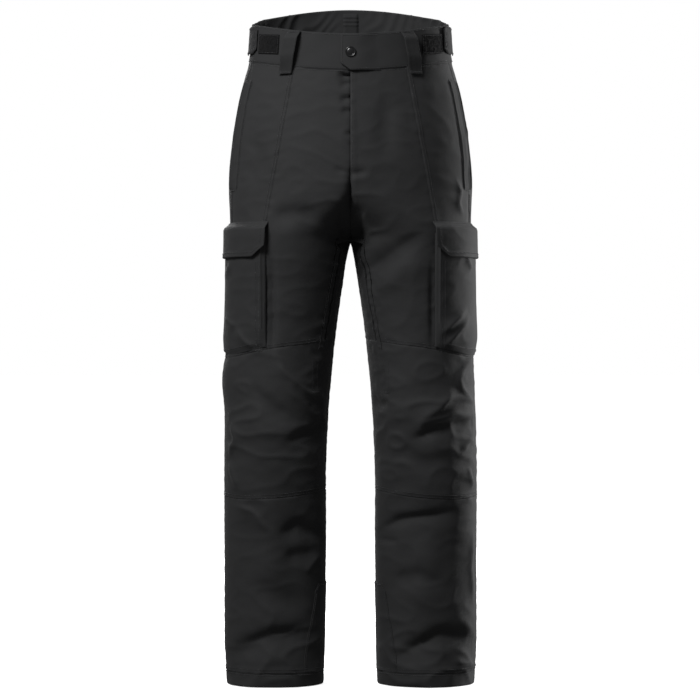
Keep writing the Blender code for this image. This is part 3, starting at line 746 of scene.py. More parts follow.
class Look(Nodes):
    """A Principled material. values set the shader's other sockets, by name."""

    def __init__(self, name, colour, roughness, **values):
        self.material, self.colour = bpy.data.materials.new(name), colour
        self.material.use_nodes = True
        super().__init__(self.material.node_tree)
        self.shader = self.tree.nodes["Principled BSDF"].inputs
        self.shader["Base Color"].default_value = (*colour, 1)
        self.shader["Roughness"].default_value = roughness
        for key, value in values.items():
            self.shader[key.replace("_", " ")].default_value = value
        self.coords = self.add("TexCoord").outputs

    def noise(self, scale, detail=4.0, rough=0.55):
        vector = self.coords["Object"]
        return self.add("TexNoise", Vector=vector, Scale=scale, Detail=detail, Roughness=rough).outputs["Fac"]

    def bumped(self, *layers):
        """Feeds the shader's normal from layers of (height, strength, distance)."""
        normal = {}
        for height, strength, distance in layers:
            node = self.add("Bump", Height=height, Strength=strength, Distance=distance, **normal)
            normal = {"Normal": node.outputs["Normal"]}
        self.feed(self.shader["Normal"], normal["Normal"])

    def tint(self, factor, spread):
        """Colour that runs from darker to lighter by spread as the factor goes from 0.3 to 0.7."""
        ramp = self.add("ValToRGB", Fac=factor)
        for element, at, gain in zip(ramp.color_ramp.elements, (0.3, 0.7), (1 - spread, 1 + spread)):
            element.position = at
            element.color = (*[c * gain for c in self.colour], 1)
        self.feed(self.shader["Base Color"], ramp.outputs["Color"])


def fabric(name, colour, roughness, thread=0.7 * MM, crinkle=0.45, grain=0.5, sheen=0.04):
    """Woven cloth: threads both ways, a fine uneven grain, soft crinkles and mottled colour."""
    look = Look(name, colour, roughness, Sheen_Weight=sheen, Sheen_Roughness=0.45, Specular_IOR_Level=0.3)
    threads = []
    for direction in ("X", "Y"):
        wave = look.add("TexWave", Vector=look.coords["UV"], Scale=0.314 / thread, Distortion=0.6, Detail=1.0)
        wave.bands_direction = direction
        threads.append(wave.outputs["Fac"])
    weave = look.combine("MAXIMUM", *threads)
    mottle, speck = look.noise(16.0, 6.0), look.noise(650.0, 2.0)
    specks = look.combine("MULTIPLY", speck, 0.45)
    look.tint(look.combine("ADD", look.combine("MULTIPLY", mottle, 0.55), specks), 0.16)
    look.feed(look.shader["Roughness"], look.scaled(mottle, 0.12, roughness - 0.06))
    crinkles, grains = look.noise(42.0, 6.0, 0.6), look.noise(520.0, 3.0)
    look.bumped((crinkles, crinkle, 1.0 * MM), (grains, grain, 0.25 * MM), (weave, 0.35, 0.12 * MM))
    return look.material


def fuzzy(name, colour):
    """Brushed loops of a hook-and-loop landing: a deep, uneven nap."""
    look = Look(name, colour, 0.95, Sheen_Weight=0.05, Specular_IOR_Level=0.1)
    tufts = look.noise(420.0, 4.0, 0.7)
    look.tint(tufts, 0.6)
    look.bumped((tufts, 1.0, 1.2 * MM), (look.noise(110.0), 0.6, 1.0 * MM))
    return look.material


def hard(name, colour, roughness, metallic, coat):
    """Enamelled metal or moulded plastic with faint flow marks."""
    look = Look(name, colour, roughness, Metallic=metallic, Coat_Weight=coat, Coat_Roughness=0.18)
    marks = look.noise(260.0, 5.0, 0.6)
    look.tint(marks, 0.25)
    look.feed(look.shader["Roughness"], look.scaled(marks, 0.2, roughness - 0.1))
    look.bumped((marks, 0.15, 0.1 * MM))
    return look.material


SHELL = fabric("shell_cloth", (0.0215, 0.0218, 0.0226), 0.80)
BAND = fabric("band_cloth", (0.0205, 0.0208, 0.0216), 0.82, crinkle=0.3)
TRIM = fabric("trim_cloth", (0.0180, 0.0183, 0.0190), 0.86, thread=1.0 * MM, crinkle=0.25, grain=0.8)
LINING = fabric("lining_cloth", (0.040, 0.040, 0.043), 0.62, 0.4 * MM, crinkle=0.6, grain=0.2, sheen=0.05)
TAPE = fabric("zip_tape_cloth", (0.013, 0.013, 0.014), 0.88, thread=0.5 * MM, crinkle=0.1)
THREAD = fabric("sewing_thread", (0.027, 0.027, 0.029), 0.60, thread=0.3 * MM, crinkle=0.2, sheen=0.2)
FUZZ = fuzzy("loop_fuzz", (0.0070, 0.0070, 0.0073))
COIL = hard("coil_nylon", (0.014, 0.014, 0.015), 0.42, 0.0, 0.1)
ENAMEL = hard("black_enamel", (0.016, 0.016, 0.017), 0.34, 0.55, 0.5)
CLOTH = [SHELL, LINING]


# ---- Panels of the legs ----------------------------------------------------------------


def upper_leg(side, label):
    seam = lambda angle: band_seam(angle) + 0.0016
    before = lambda z: princess_seam(z) + OVERLAP
    after = lambda z: princess_seam(z) - OVERLAP
    bottom = lambda angle: upper_knee(angle) - SEAM_LAP
    for name, start, end, top, seams in (
        ("front_panel", front_edge, before, seam, "dsss" if side > 0 else "csss"),
        ("hip_panel", after, hand_edge(-1), seam, "lsss"),
        ("back_panel", hand_edge(1), centre_back, seam, "lcss"),
        ("inner_thigh", centre_front, vent_inner, always(-0.2985), "c.s."),
    ):
        made = panel(f"{name}_cloth_{label}", patch(side, start, end, bottom, top), CLOTH, seams)
        settle(made, "garment", "shell_fabric", f"{name}_{label}", on=f"waistband_front_{label}")
    zone, narrow, wide = f"upper_{label}", (2.2 * MM,), (2.4 * MM,)
    seam_rows(zone, side, after, (-0.046, -0.492), 1)
    seam_rows(zone, side, hand_edge(1), (-0.234, -0.497), 1)
    seam_rows(zone, side, vent_outer, (-0.330, -0.482), 1, wide, lap=False)
    seam_rows(zone, side, vent_inner, (-0.330, -0.480), -1, wide, lap=False)
    seam_rows(zone, side, centre_back, (0.012, -0.300), -1, lap=False)
    if side > 0:
        seam_rows(zone, side, centre_front, (-0.043, -0.196), 1, narrow)
    for ends in ((3.0, 84.0), (87.0, 178.0)):
        cross_rows(zone, side, band_seam, ends, -1, narrow, lap=False)


def knee_bend(made, side):
    centre = side * float(leg_slice(-0.61)[0])
    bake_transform(made)


def lower_leg(side, label):
    body, knee, lower = (f"{name}_{label}" for name in ("lower_leg", "knee", "lower"))
    halves = (
        ("knee_front", "shin_panel", always(-90 - OVERLAP), always(90 + OVERLAP)),
        ("knee_back", "calf_panel", always(90 - OVERLAP), always(270 + OVERLAP)),
    )
    high, low = lambda a: upper_knee(a) + SEAM_LAP, lambda a: lower_knee(a) - SEAM_LAP
    for name, _, *edges in halves:
        made = panel(f"{name}_cloth_{label}", patch(side, *edges, low, high), CLOTH, "ssss")
        knee_bend(made, side)
        dress(made, "shell_fabric", f"{name}_{label}", on=f"hip_panel_cloth_{label}")
    under, hem = lambda a: lower_knee(a) + SEAM_LAP, always(HEM_STITCH_Z - SEAM_LAP)
    for above, name, *edges in halves:
        made = panel(f"{name}_cloth_{label}", patch(side, *edges, hem, under), CLOTH, "ssls")
        settle(made, body, "shell_fabric", f"{name}_{label}", on=f"{above}_cloth_{label}")
    cross_rows(f"upper_{label}", side, upper_knee, (-40.0, 262.0), 1, lap=False)
    cross_rows(knee, side, lower_knee, (-88.0, 268.0), 1, lap=False)
    z = np.linspace(-0.504, -0.553, 14)
    for across in (0.0538, 0.0612):
        sew(knee, side, angle_at_x(across, z), z)
    for z in (-0.5545, -0.5565):
        sew(knee, side, angle_at_x(np.linspace(0.0520, 0.0630, 6), z), z, pitch=1.7 * MM)
    cross_rows(lower, side, always(HEM_STITCH_Z), (0.0, 360.0), 1)
    kick_patch(side, label, body, lower)
    hem_cuff(side, label, body, lower)
    snow_gaiter(side, label, body)


def kick_patch(side, label, body, zone):
    """Reinforcement round the inner ankle, sewn on with a row of stitches inside its edge."""
    start = lambda z: 228.0 + 6.0 * smoothstep(-0.86, -1.00, z)
    end = lambda z: 306.0 + 17.0 * smoothstep(-0.85, -1.01, z)

    def top(angle):
        """Rounds the two upper corners."""
        near = np.minimum(angle - 230.0, 308.0 - angle)
        return -0.866 - 0.012 * (1 - smoothstep(0.0, 9.0, near))

    p = patch(side, start, end, always(HEM_STITCH_Z + 0.0022), top)
    made = panel(f"kick_patch_cloth_{label}", p, [BAND], offset=1.1 * MM, thickness=1.0 * MM)
    settle(made, body, "trim_fabric", f"kick_patch_{label}", on=f"calf_panel_cloth_{label}")
    z = np.linspace(-0.882, -1.004, 40)
    angle = np.linspace(232.0, 305.0, 60)
    rows = (beside(start, z, EDGE_ROW), z), (beside(end, z, -EDGE_ROW), z), (angle, top(angle) - EDGE_ROW)
    for row in rows:
        sew(zone, side, *row, 1.5 * MM)


def hem_cuff(side, label, body, zone):
    ring = always(0.0), always(360.0)
    p = patch(side, *ring, always(HEM_Z), always(HEM_STITCH_Z + SEAM_LAP), closed=True)
    fold = np.exp(-(p.height - HEM_Z) / 0.0012)
    lift = p.relief() + 0.5 * MM - 1.2 * MM * np.exp(-((HEM_STITCH_Z - p.height) / 0.002)) - 1.0 * MM * fold
    lift = lift + 0.35 * MM * noise(p.points(), (0.012, 0.012, 0.02), 21)
    made = cloth(f"hem_cuff_cloth_{label}", p, lift, 2.4 * MM - 1.4 * MM * fold, [BAND], closed=True)
    settle(made, body, "trim_fabric", f"hem_cuff_{label}", on=f"shin_panel_cloth_{label}")
    sew(zone, side, np.linspace(0.0, 360.0, 240), HEM_STITCH_Z - 0.0026, 0.3 * MM)


def snow_gaiter(side, label, body):
    """Lining skirt inside the hem, gathered by an elastic edge."""
    ring = always(0.0), always(360.0)
    p = patch(side, *ring, always(-1.013), always(-0.872), step=3.0 * MM, closed=True)
    share = (-0.870 - p.height) / 0.145
    pleats = np.sin(np.radians(p.angle) * 44) * 1.5 * MM * share**1.5
    elastic = 0.8 * MM * np.sin(p.height / 0.0022) * smoothstep(-0.985, -0.990, p.height)
    lift = -0.0052 - 0.016 * share + 0.7 * MM + pleats + elastic
    lift = np.minimum(lift, p.relief() - 3.0 * MM)
    made = cloth(f"snow_gaiter_cloth_{label}", p, lift, 0.9 * MM, [LINING], closed=True)
    on = f"hem_cuff_cloth_{label}"
    settle(made, body, "lining_fabric", f"snow_gaiter_{label}", held="gathered", on=on)


# ---- Cargo pocket ----------------------------------------------------------------------


def pocket_lift(p):
    """A bellows wall folded once, then the pocket's flat front, pressed sharp along its edge."""
    start, end, bottom, _ = p.edges()
    near = np.minimum(np.minimum(start, end), bottom)
    wall = 0.40 * smoothstep(0.0, 0.0018, near) + 0.60 * smoothstep(0.0034, 0.0062, near)
    wall = wall * (0.42 + 0.58 * smoothstep(0.0, 0.034, bottom))
    pressed = 0.5 * MM * bump(0.0075, 0.0016, near) - 0.4 * MM * bump(0.0105, 0.0014, near)
    belly = 0.9 * MM * smoothstep(0.0, 0.05, near)
    folds = (0.25 + 0.75 * smoothstep(0.002, 0.012, near)) * p.relief()
    return POCKET_FOOT + (POCKET_STAND_OFF - POCKET_FOOT) * wall + pressed + belly + folds + 0.3 * MM


def cargo_pocket(side, label):
    start = lambda z: angle_at_x(0.1355, z)
    low = lambda angle: upper_knee(angle) + 0.0038
    p = patch(side, start, always(POCKET_END), low, always(-0.300), step=3.2 * MM)
    made = cloth(f"cargo_pocket_cloth_{label}", p, pocket_lift(p), 1.4 * MM, [SHELL])
    settle(made, "garment", "shell_fabric", f"cargo_pocket_{label}", on=f"hip_panel_cloth_{label}")
    z, angle, inset = np.linspace(-0.345, -0.485, 50), np.linspace(28.0, 98.0, 60), 9.3 * MM
    rows = (beside(start, z, inset), z), (beside(start, z, 14.5 * MM), z), (angle, low(angle) + inset)
    sew_on(f"upper_{label}", p, rows, pocket_lift)


def flap_bottom(angle):
    """Level, with the front corner cut off."""
    cut = 17.0 * MM - (angle - 22.0) * 1.70 * MM
    return FLAP_BOTTOM_Z + 0.94 * (cut + np.sqrt(cut**2 + (1.5 * MM) ** 2)) / 2


def flap_lift(p):
    start, end, bottom, top = p.edges()
    drop = smoothstep(0.0, 0.011, top)
    near = np.minimum(np.minimum(start, end), bottom)
    lift = 0.55 * MM * smoothstep(0.0090, 0.0078, near) * smoothstep(0.004, 0.010, top)  # the hem
    lift = lift + 0.9 * MM * drop * (np.exp(-bottom / 0.012) + noise(p.points(), (0.035, 0.035, 0.06), 9))
    lift = lift - 0.45 * MM * (bump(0.0019, 0.0010, top) + bump(0.0082, 0.0012, top))  # sewn down
    stand_off = (FLAP_OFFSET + 0.4 * MM - POCKET_FOOT) * drop
    return POCKET_FOOT + stand_off + lift + (0.4 + 0.3 * drop) * p.relief() + 0.6 * MM


def hinged(made, threads, ends, slot, node, on):
    """A tab or flap and its stitches, with their placements baked into their meshes."""
    for piece in (made, threads):
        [tuple(map(float, end)) for end in ends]
        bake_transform(piece)
    dress(made, slot, node, on=on)
    dress(threads, slot)


def cargo_flap(side, label):
    start = lambda z: angle_at_x(0.1315 + 0.0025 * (FLAP_TOP_Z - z) / 0.037, z)
    p = patch(side, start, always(POCKET_END + 1.5), flap_bottom, always(FLAP_TOP_Z), step=2.6 * MM)
    soft = rounded(p, 1.1 * MM, 0.8 * MM)
    made = cloth(f"cargo_flap_cloth_{label}", p, flap_lift(p), 1.8 * MM, [SHELL], soft, sharp=80.0)
    angle, low_angle = np.linspace(27.5, POCKET_END, 90), np.linspace(26.5, POCKET_END - 2.6, 90)
    z = np.linspace(FLAP_TOP_Z - 0.011, FLAP_BOTTOM_Z + 0.022, 16)
    inset = 7.0 * MM
    rows = [(angle, np.full(90, FLAP_TOP_Z - down)) for down in (1.9 * MM, 8.2 * MM)]
    rows += [(low_angle, flap_bottom(low_angle) + inset), (beside(start, z, inset), z)]
    sew_on(f"flap_{label}", p, rows, flap_lift)
    middle = (POCKET_START + POCKET_END) / 2
    ends = [place(side, middle, FLAP_TOP_Z) - (0, 0, down) for down in (0.001, 0.017)]
    threads = stitching(f"flap_{label}", f"flap_{label}")
    slot, node, on = "shell_fabric", f"cargo_flap_{label}", f"hip_panel_cloth_{label}"
    hinged(made, threads, ends, slot, node, on)


# ---- Zips ------------------------------------------------------------------------------


def axes(along, normal):
    """A zip's own directions, as rows: across it, along it and out of the cloth."""
    y_axis = along / np.linalg.norm(along)
    z_axis = normal - normal @ y_axis * y_axis
    z_axis /= np.linalg.norm(z_axis)
    return np.stack([np.cross(y_axis, z_axis), y_axis, z_axis])


def zip_pieces(kind, ending, top, bottom, normal, has_pull=True):
    """Woven tapes with a rolled edge, the coil's turns along their middle, slider and pull."""
    turn, length = axes(bottom - top, normal), float(np.linalg.norm(bottom - top))
    y, x = np.meshgrid(np.linspace(0, length, 60), np.linspace(-0.011, 0.011, 17), indexing="ij")
    ridge = 0.4 * MM * bump(0.0095, 0.0012, np.abs(x))
    ridge += 0.25 * MM * np.sin(y / 0.004) * smoothstep(0.004, 0.011, np.abs(x))
    high = top + np.stack([x, y, ridge - 0.1 * MM], -1) @ turn
    tape = shell(f"{kind}_zip_tape{ending}", high, high - 0.8 * MM * turn[2], [TAPE], np.stack([x, y], -1))
    settle(tape, "garment", "zip_coil", f"{kind}_zip{ending}", held="stretched")
    at = np.arange(0.0008, length - 0.0008, 1.25 * MM)
    sway = np.where(np.arange(len(at)) % 2, 0.25 * MM, -0.25 * MM)
    middle = top + np.stack([sway, at, np.full(len(at), 1.15 * MM)], -1) @ turn
    flat, size = np.ones((len(at), 1)), (4.2 * MM, 1.05 * MM, 0.95 * MM)
    coil = rods(f"{kind}_zip_tape{ending}_coil", middle, flat * turn[0], flat * turn[2], size, COIL, 0.6)
    settle(coil, "garment", "zip_coil")
    slider(kind, ending, top, turn)
    if has_pull:
        pull(kind, ending, top, turn)
    return turn, length


def bevelled(name, points, faces, width):
    """A hard piece with every edge rounded."""
    made = build(name, points, faces, [ENAMEL], sharp=40.0)
    solid = bmesh.new()
    solid.from_mesh(made.data)
    corners = solid.edges[:] + solid.verts[:]
    bmesh.ops.bevel(
        solid, geom=corners, offset=width, segments=2, profile=0.7, affect="EDGES", clamp_overlap=True
    )
    solid.to_mesh(made.data)
    solid.free()
    made.data.shade_smooth()
    made.data.set_sharp_from_angle(angle=math.radians(50))
    return made


def slider(kind, ending, top, turn):
    """Slider body straddling the coil, with two ribs that hold the pull."""
    profile = ((-4.5, 0.3), (-2.8, 0.3), (-2.8, 2.4), (2.8, 2.4), (2.8, 0.3), (4.5, 0.3),
               (4.3, 5.2), (2.9, 5.2), (2.9, 3.6), (-2.9, 3.6), (-2.9, 5.2), (-4.3, 5.2))  # fmt: skip
    rings = ((2.0, 0.78), (4.5, 1.0), (10.5, 1.0), (13.0, 0.84))  # (place along the zip, narrowing)
    local = [(x * (narrow if abs(x) > 2.9 else 1.0), y, z) for y, narrow in rings for x, z in profile]
    count = len(profile)
    faces = [tuple(range(count)), tuple(range(3 * count, 4 * count))]
    for a in range(0, 3 * count, count):
        around = [(a + i, a + (i + 1) % count) for i in range(count)]
        faces += [(i, j, j + count, i + count) for i, j in around]
    made = bevelled(f"{kind}_zip_slider_body{ending}", top + np.array(local) @ turn * MM, faces, 0.16 * MM)
    settle(made, f"{kind}_zip_slider{ending}", "slider_metal", f"{kind}_slider{ending}")


def pull(kind, ending, top, turn):
    """Flat pull with a long eye, rounded at both ends, hinged above the slider."""
    n, hinge_y, hinge_z, half_thickness = 24, 4.0, 4.55, 0.6  # millimetres, in the zip's directions
    around = np.linspace(0, 2 * math.pi, n, endpoint=False)
    rings = []
    for z in (half_thickness, -half_thickness):
        for half, start, end in ((2.6, -0.4, 24.0), (1.35, 4.0, 20.0)):
            y = np.where(np.sin(around) > 0, end - half, start + half) + half * np.sin(around)
            rings.append(np.stack([half * np.cos(around), hinge_y + y, np.full(n, hinge_z + z)], -1))
    faces = []
    for i in range(n):
        j = (i + 1) % n
        faces += [(i, j, n + j, n + i), (2 * n + i, 3 * n + i, 3 * n + j, 2 * n + j)]
        faces += [(i, 2 * n + i, 2 * n + j, j), (n + i, n + j, 3 * n + j, 3 * n + i)]
    made = bevelled(f"{kind}_zip_pull_tab{ending}", top + np.concatenate(rings) @ turn * MM, faces, 0.14 * MM)
    settle(made, f"{kind}_zip_pull{ending}", "slider_metal", f"{kind}_pull{ending}")


def hand_pocket(side, label):
    """Zip in the side seam between two rolled welts, with the pocket bag behind."""
    top, bottom = (place(side, SIDE_SEAM, z, HAND_SINK) for z in HAND_ZIP_Z)
    zip_pieces("hand", f"_{label}", top, bottom, outward(side, SIDE_SEAM, sum(HAND_ZIP_Z) / 2))
    hand_welt(side, label, "front", 3.4 * MM, -17.0 * MM)
    hand_welt(side, label, "back", 5.6 * MM, 10.5 * MM)
    zone, z = f"upper_{label}", np.linspace(-0.052, -0.226, 50)
    for distance in (12.6 * MM, -19.0 * MM):
        sew(zone, side, beside(side_seam, z, distance), z, 0.2 * MM)
    for z in (-0.0490, -0.2290):
        sew(zone, side, np.linspace(SIDE_SEAM - 4.0, SIDE_SEAM + 4.0, 5), z, 0.9 * MM, pitch=1.5 * MM)
    bag = patch(side, always(36.0), always(82.0), always(-0.268), always(-0.055), step=6.0 * MM)
    swell = 1.2 * MM * smoothstep(0.0, 0.02, bag.near())
    crease = 0.6 * MM * noise(bag.points(), (0.03, 0.03, 0.02), 14)
    lift, thickness = -0.0138 + swell + crease, 1.2 * MM + 2 * swell
    made = cloth(f"hand_pocket_lining_{label}", bag, lift, thickness, [LINING])
    on = f"waistband_front_{label}"
    settle(made, "garment", "lining_fabric", f"hand_pocket_bag_{label}", on=on)


def hand_welt(side, label, name, near, far):
    """Lip of cloth beside the hand pocket's zip, from far to near of it. The front one covers it."""
    front = name == "front"
    line = lambda distance: lambda z: beside(side_seam, z, distance)
    p = patch(side, *map(line, sorted((near, far))), always(-0.2285), always(-0.0490), step=1.8 * MM)
    start, end, below, above = p.edges()
    free, sewn = (end, start) if front else (start, end)
    ends = smoothstep(0.0, 0.004, np.minimum(below, above))
    roll = (1.5 * MM * bump(0.0016, 0.0016, free) + 1.0 * MM * bump(0.0018, 0.0014, sewn)) * ends
    pucker = 0.4 * MM * noise(p.points(), (0.02, 0.02, 0.014), 71) * ends
    lift = p.relief() + 0.9 * MM + roll + pucker - 0.8 * MM * (1 - ends)
    welt = cloth(f"hand_welt_{name}_{label}", p, lift, 1.3 * MM + 0.8 * roll, [BAND])
    settle(welt, "garment", "shell_fabric", on=f"{'hip' if front else 'back'}_panel_cloth_{label}")
    if front:
        middle = -0.139
        give_way(welt, (0, 0, 1.0), side, p.start, middle, SIDE_SEAM)


def give_way(made, along, side, edge, height, angle):
    """Gives a lip of cloth its own copy of its mesh data."""
    across = np.cross(along, outward(side, angle, height))
    anchor = place(side, edge(height), height)
    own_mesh(made)


def thigh_vent(side, label):
    """Zip down the inner thigh, behind a cloth lip sewn along the vent's front edge."""
    ends = [place(side, angle_at_x(x, z), z, VENT_SINK) for x, z in (VENT_ZIP_TOP, VENT_ZIP_BOTTOM)]
    middle = (VENT_ZIP_TOP[1] + VENT_ZIP_BOTTOM[1]) / 2
    zip_pieces("vent", f"_{label}", *ends, outward(side, vent_line(middle), middle))

    start = lambda z: beside(vent_line, z, 1.4 * MM - VENT_SLOT)
    end = lambda z: beside(vent_line, z, VENT_SLOT + 3.0 * MM)
    p = patch(side, start, end, always(-0.4865), always(-0.309), step=1.8 * MM)
    free, sewn, below, above = p.edges()
    roll = 0.8 * MM * bump(0.0012, 0.0012, free) + 0.5 * MM * bump(0.0, 0.0012, sewn)
    puckers = 0.35 * MM * noise(p.points(), (0.012, 0.012, 0.016), 61)
    pressed = 0.8 * MM * smoothstep(0.003, 0.0, np.minimum(below, above))
    lift = p.relief() + 0.9 * MM + roll + puckers - pressed

    def trim(points):
        points[..., 0] = side * np.maximum(side * points[..., 0], 0.0006)

    made = cloth(f"vent_cover_{label}", p, lift, 1.2 * MM, [SHELL], trim=trim)
    settle(made, "garment", "shell_fabric", on=f"front_panel_cloth_{label}")
    middle, half = -0.395, 0.05
    upper, lower = (place(side, vent_line(z), z) for z in (middle + half, middle - half))
    give_way(made, upper - lower, side, end, middle, vent_line(middle))


def fly():
    """Centre front zip, sunk into the opening, with the underlap behind it."""
    top, bottom = (np.array((0.0, place(1, 0.0, z)[1] + 0.0100, z)) for z in FLY_ZIP_Z)
    turn, length = zip_pieces("fly", "", top, bottom, np.array((0.0, -1.0, 0.0)), has_pull=False)
    y, x = np.meshgrid(np.linspace(-0.012, length + 0.004, 50), np.linspace(-0.021, 0.021, 16), indexing="ij")
    wave = -3.0 * MM + 0.3 * MM * np.sin(y / 0.011 + x / 0.009)
    face = top + np.stack([x, y, wave], -1) @ turn
    made = shell("fly_underlap_cloth", face, face - 1.2 * MM * turn[2], [TRIM], np.stack([x, y], -1))
    settle(made, "garment", "trim_fabric", "fly_underlap", on="waistband_front_right")


# ---- Waistband and what is on it -------------------------------------------------------


def band_wave(side, angle, height):
    """Waistband cloth is stiff: it only ripples, and gathers towards its ends at the back."""
    base = place(side, angle, height)
    calm = 0.45 * MM * noise(base, (0.030, 0.030, 0.022), 17)
    turn = mirrored(angle)
    shirr = smoothstep(92.0, 108.0, turn) * smoothstep(178.0, 158.0, turn)
    slant = np.radians(angle) * 12 + height * 85
    wander = slant * 1.5 + 3.2 * noise(base, 0.045, 23)
    depth = 3.8 * MM * (0.7 + 0.6 * noise(base, 0.06, 29))
    return calm + shirr * depth * (np.abs(np.sin(wander)) - 0.5)


def sew_band(side, angle, height, offset, lift=0.25 * MM):
    """A row on the waistband, which follows its ripples."""
    sew("band", side, angle, height, offset + band_wave(side, angle, height), lift, folded=False)


def band_panel(part, ending, side, start, end, material, held, on):
    seam = lambda angle: band_seam(mirrored(angle)) - 0.0006
    top = lambda angle: band_top(mirrored(angle))
    p = patch(side, always(start), always(end), seam, top, step=3.0 * MM)
    below, above = p.edges()[2:]
    lift = BAND_OFFSET + band_wave(side, p.angle, p.height)
    lift = lift - 1.1 * MM * np.exp(-((below / 0.0018) ** 2)) - 0.35 * MM * bump(0.0026, 0.0010, above)
    soft = rounded(p, 0.8 * BAND_THICKNESS, 0.5 * BAND_THICKNESS, "...o")
    made = cloth(f"{part}_cloth{ending}", p, lift, BAND_THICKNESS, material, soft, sharp=80.0)
    settle(made, "garment", "shell_fabric", f"{part}{ending}", held=held, on=on)
    angle = np.linspace(start + 1.2, end - 1.2, 150)
    for z in (top(angle) - EDGE_ROW, seam(angle) + 2.4 * MM):
        sew_band(side, angle, z, BAND_OFFSET, 0.1 * MM)


def waistband(side, label):
    start_x = -0.029 if side < 0 else 0.030
    start = math.degrees(math.asin(start_x / float(smooth(OUTER_SIDE, 0.0))))
    edges, on = (start, BAND_SIDE_ANGLE), f"front_panel_cloth_{label}"
    band_panel("waistband_front", f"_{label}", side, *edges, [BAND, LINING], "hung", on)


def back_band_patch():
    """The stitched centre patch inside the band, with three ridges across it."""
    low = lambda angle: band_seam(mirrored(angle)) + 0.012
    top = lambda angle: band_top(mirrored(angle)) - 0.006
    p = patch(1, always(175.4), always(184.6), low, top, step=1.5 * MM)
    middle, near = (low(180.0) + top(180.0)) / 2, p.near()
    ridge = sum(bump(middle + dz, 0.0016, p.height) for dz in (0.003, 0.0095, 0.016)) * 1.1 * MM
    groove = 0.4 * MM * bump(0.0030, 0.0008, near) + 1.9 * MM * np.exp(-((near / 0.0016) ** 2))
    thickness = 1.8 * MM + ridge - groove - 0.2 * MM * noise(p.points(), 0.008, 3)
    made = cloth("back_band_patch_cloth", p, -2.2 * MM, thickness, [TRIM])
    settle(made, "garment", "trim_fabric", "back_band_patch", on="waistband_back_cloth")


def loop_lift(t):
    """Offset along a belt loop: sewn flat at both ends and standing off between them."""
    rise = smoothstep(-0.04, 0.46, t) * smoothstep(1.02, 0.80, t)
    return 2.0 * MM + (LOOP_STAND_OFF - 0.4 * MM) * rise


def belt_loop(place_name, side, angle_top, angle_low, ending=""):
    middle = (angle_top + angle_low) / 2
    high = float(band_top(mirrored(middle))) - 0.0015
    low = float(band_seam(mirrored(middle))) - (0.0115 if middle < 90 else 0.0045)

    def spot(t, u):
        """Angle and height at shares along and across the loop: t from 0 to 1, u from -1 to 1."""
        height = low + (high - low) * t
        aside = u * LOOP_WIDTH / 2 / arc_per_degree(middle, height)
        return angle_low + (angle_top - angle_low) * t + aside, height

    corner = np.array([0.84, 0.92, 0.97, 1])
    across = np.concatenate([-corner[::-1], np.linspace(-0.72, 0.72, 9), corner])
    t, u = np.meshgrid(np.linspace(0, 1, 44), across, indexing="ij")
    angle, height = spot(t, u)
    folded = 0.45 * MM * smoothstep(0.58, 0.68, np.abs(u)) - 0.35 * MM * bump(0.80, 0.06, np.abs(u))
    lift = loop_lift(t) + folded + 0.35 * MM * noise(place(side, angle, height), (0.02, 0.02, 0.012), 8)
    lift = lift + 0.7 * MM * (bump(0.0, 0.03, t) + bump(1.0, 0.03, t))
    soft = 0.9 * MM * smoothstep(0.90, 1.0, np.abs(u)) ** 2
    outer = place(side, angle, height, lift + 1.5 * MM - soft)
    inner = place(side, angle, height, lift - 0.2 * MM + soft)
    uv = np.stack([u * LOOP_WIDTH / 2, height], -1)
    made = shell(f"belt_loop_{place_name}_strap{ending}", outer, inner, [TRIM], uv, sharp=80.0)
    settle(made, "garment", "trim_fabric", f"belt_loop_{place_name}{ending}", held="stretched")
    line = np.linspace(0.03, 0.97, 40)
    for u in (-0.80, 0.80):
        sew("band", side, *spot(line, u), loop_lift(line) + 1.45 * MM, 0.1 * MM, folded=False)
    for at in (0.018, 0.042, 0.958, 0.982):
        row = spot(at, 0.86 * np.linspace(-1, 1, 8))
        sew("band", side, *row, loop_lift(at) + 1.9 * MM, 0.2 * MM, folded=False, pitch=1.4 * MM)


def landing_patch(side, label):
    """Fuzzy patch that the adjuster tab's hook side lands on."""
    low, high = (lambda a, z=z: z + 0.004 * (a - 54.5) / 20.0 for z in (-0.0085, 0.0225))
    p = patch(side, always(44.5), always(64.5), low, high, step=1.3 * MM)
    base, near = p.points(), p.near()
    tufts = 0.7 * MM * noise(base, 0.0024, 31) + 0.5 * MM * noise(base, 0.0060, 32)
    nap = 1.6 * MM + tufts * smoothstep(0.0, 0.002, near) - 0.7 * MM * bump(0.0016, 0.0009, near)
    lift = 1.3 * MM + nap + band_wave(side, p.angle, p.height)
    made = cloth(f"loop_patch_nap_{label}", p, lift, nap, [FUZZ])
    on = f"waistband_front_{label}"
    settle(made, "garment", "fuzzy_loop", f"loop_patch_{label}", held="laid", on=on)
    angle = np.linspace(45.2, 63.8, 20)
    rows = [(angle, low(angle) + 1.5 * MM), (angle, high(angle) - 1.5 * MM)]
    rows += [(at, np.linspace(low(at) + 0.002, high(at) - 0.002, 12)) for at in (45.3, 63.7)]
    for row in rows:
        sew_band(side, *row, 2.7 * MM)


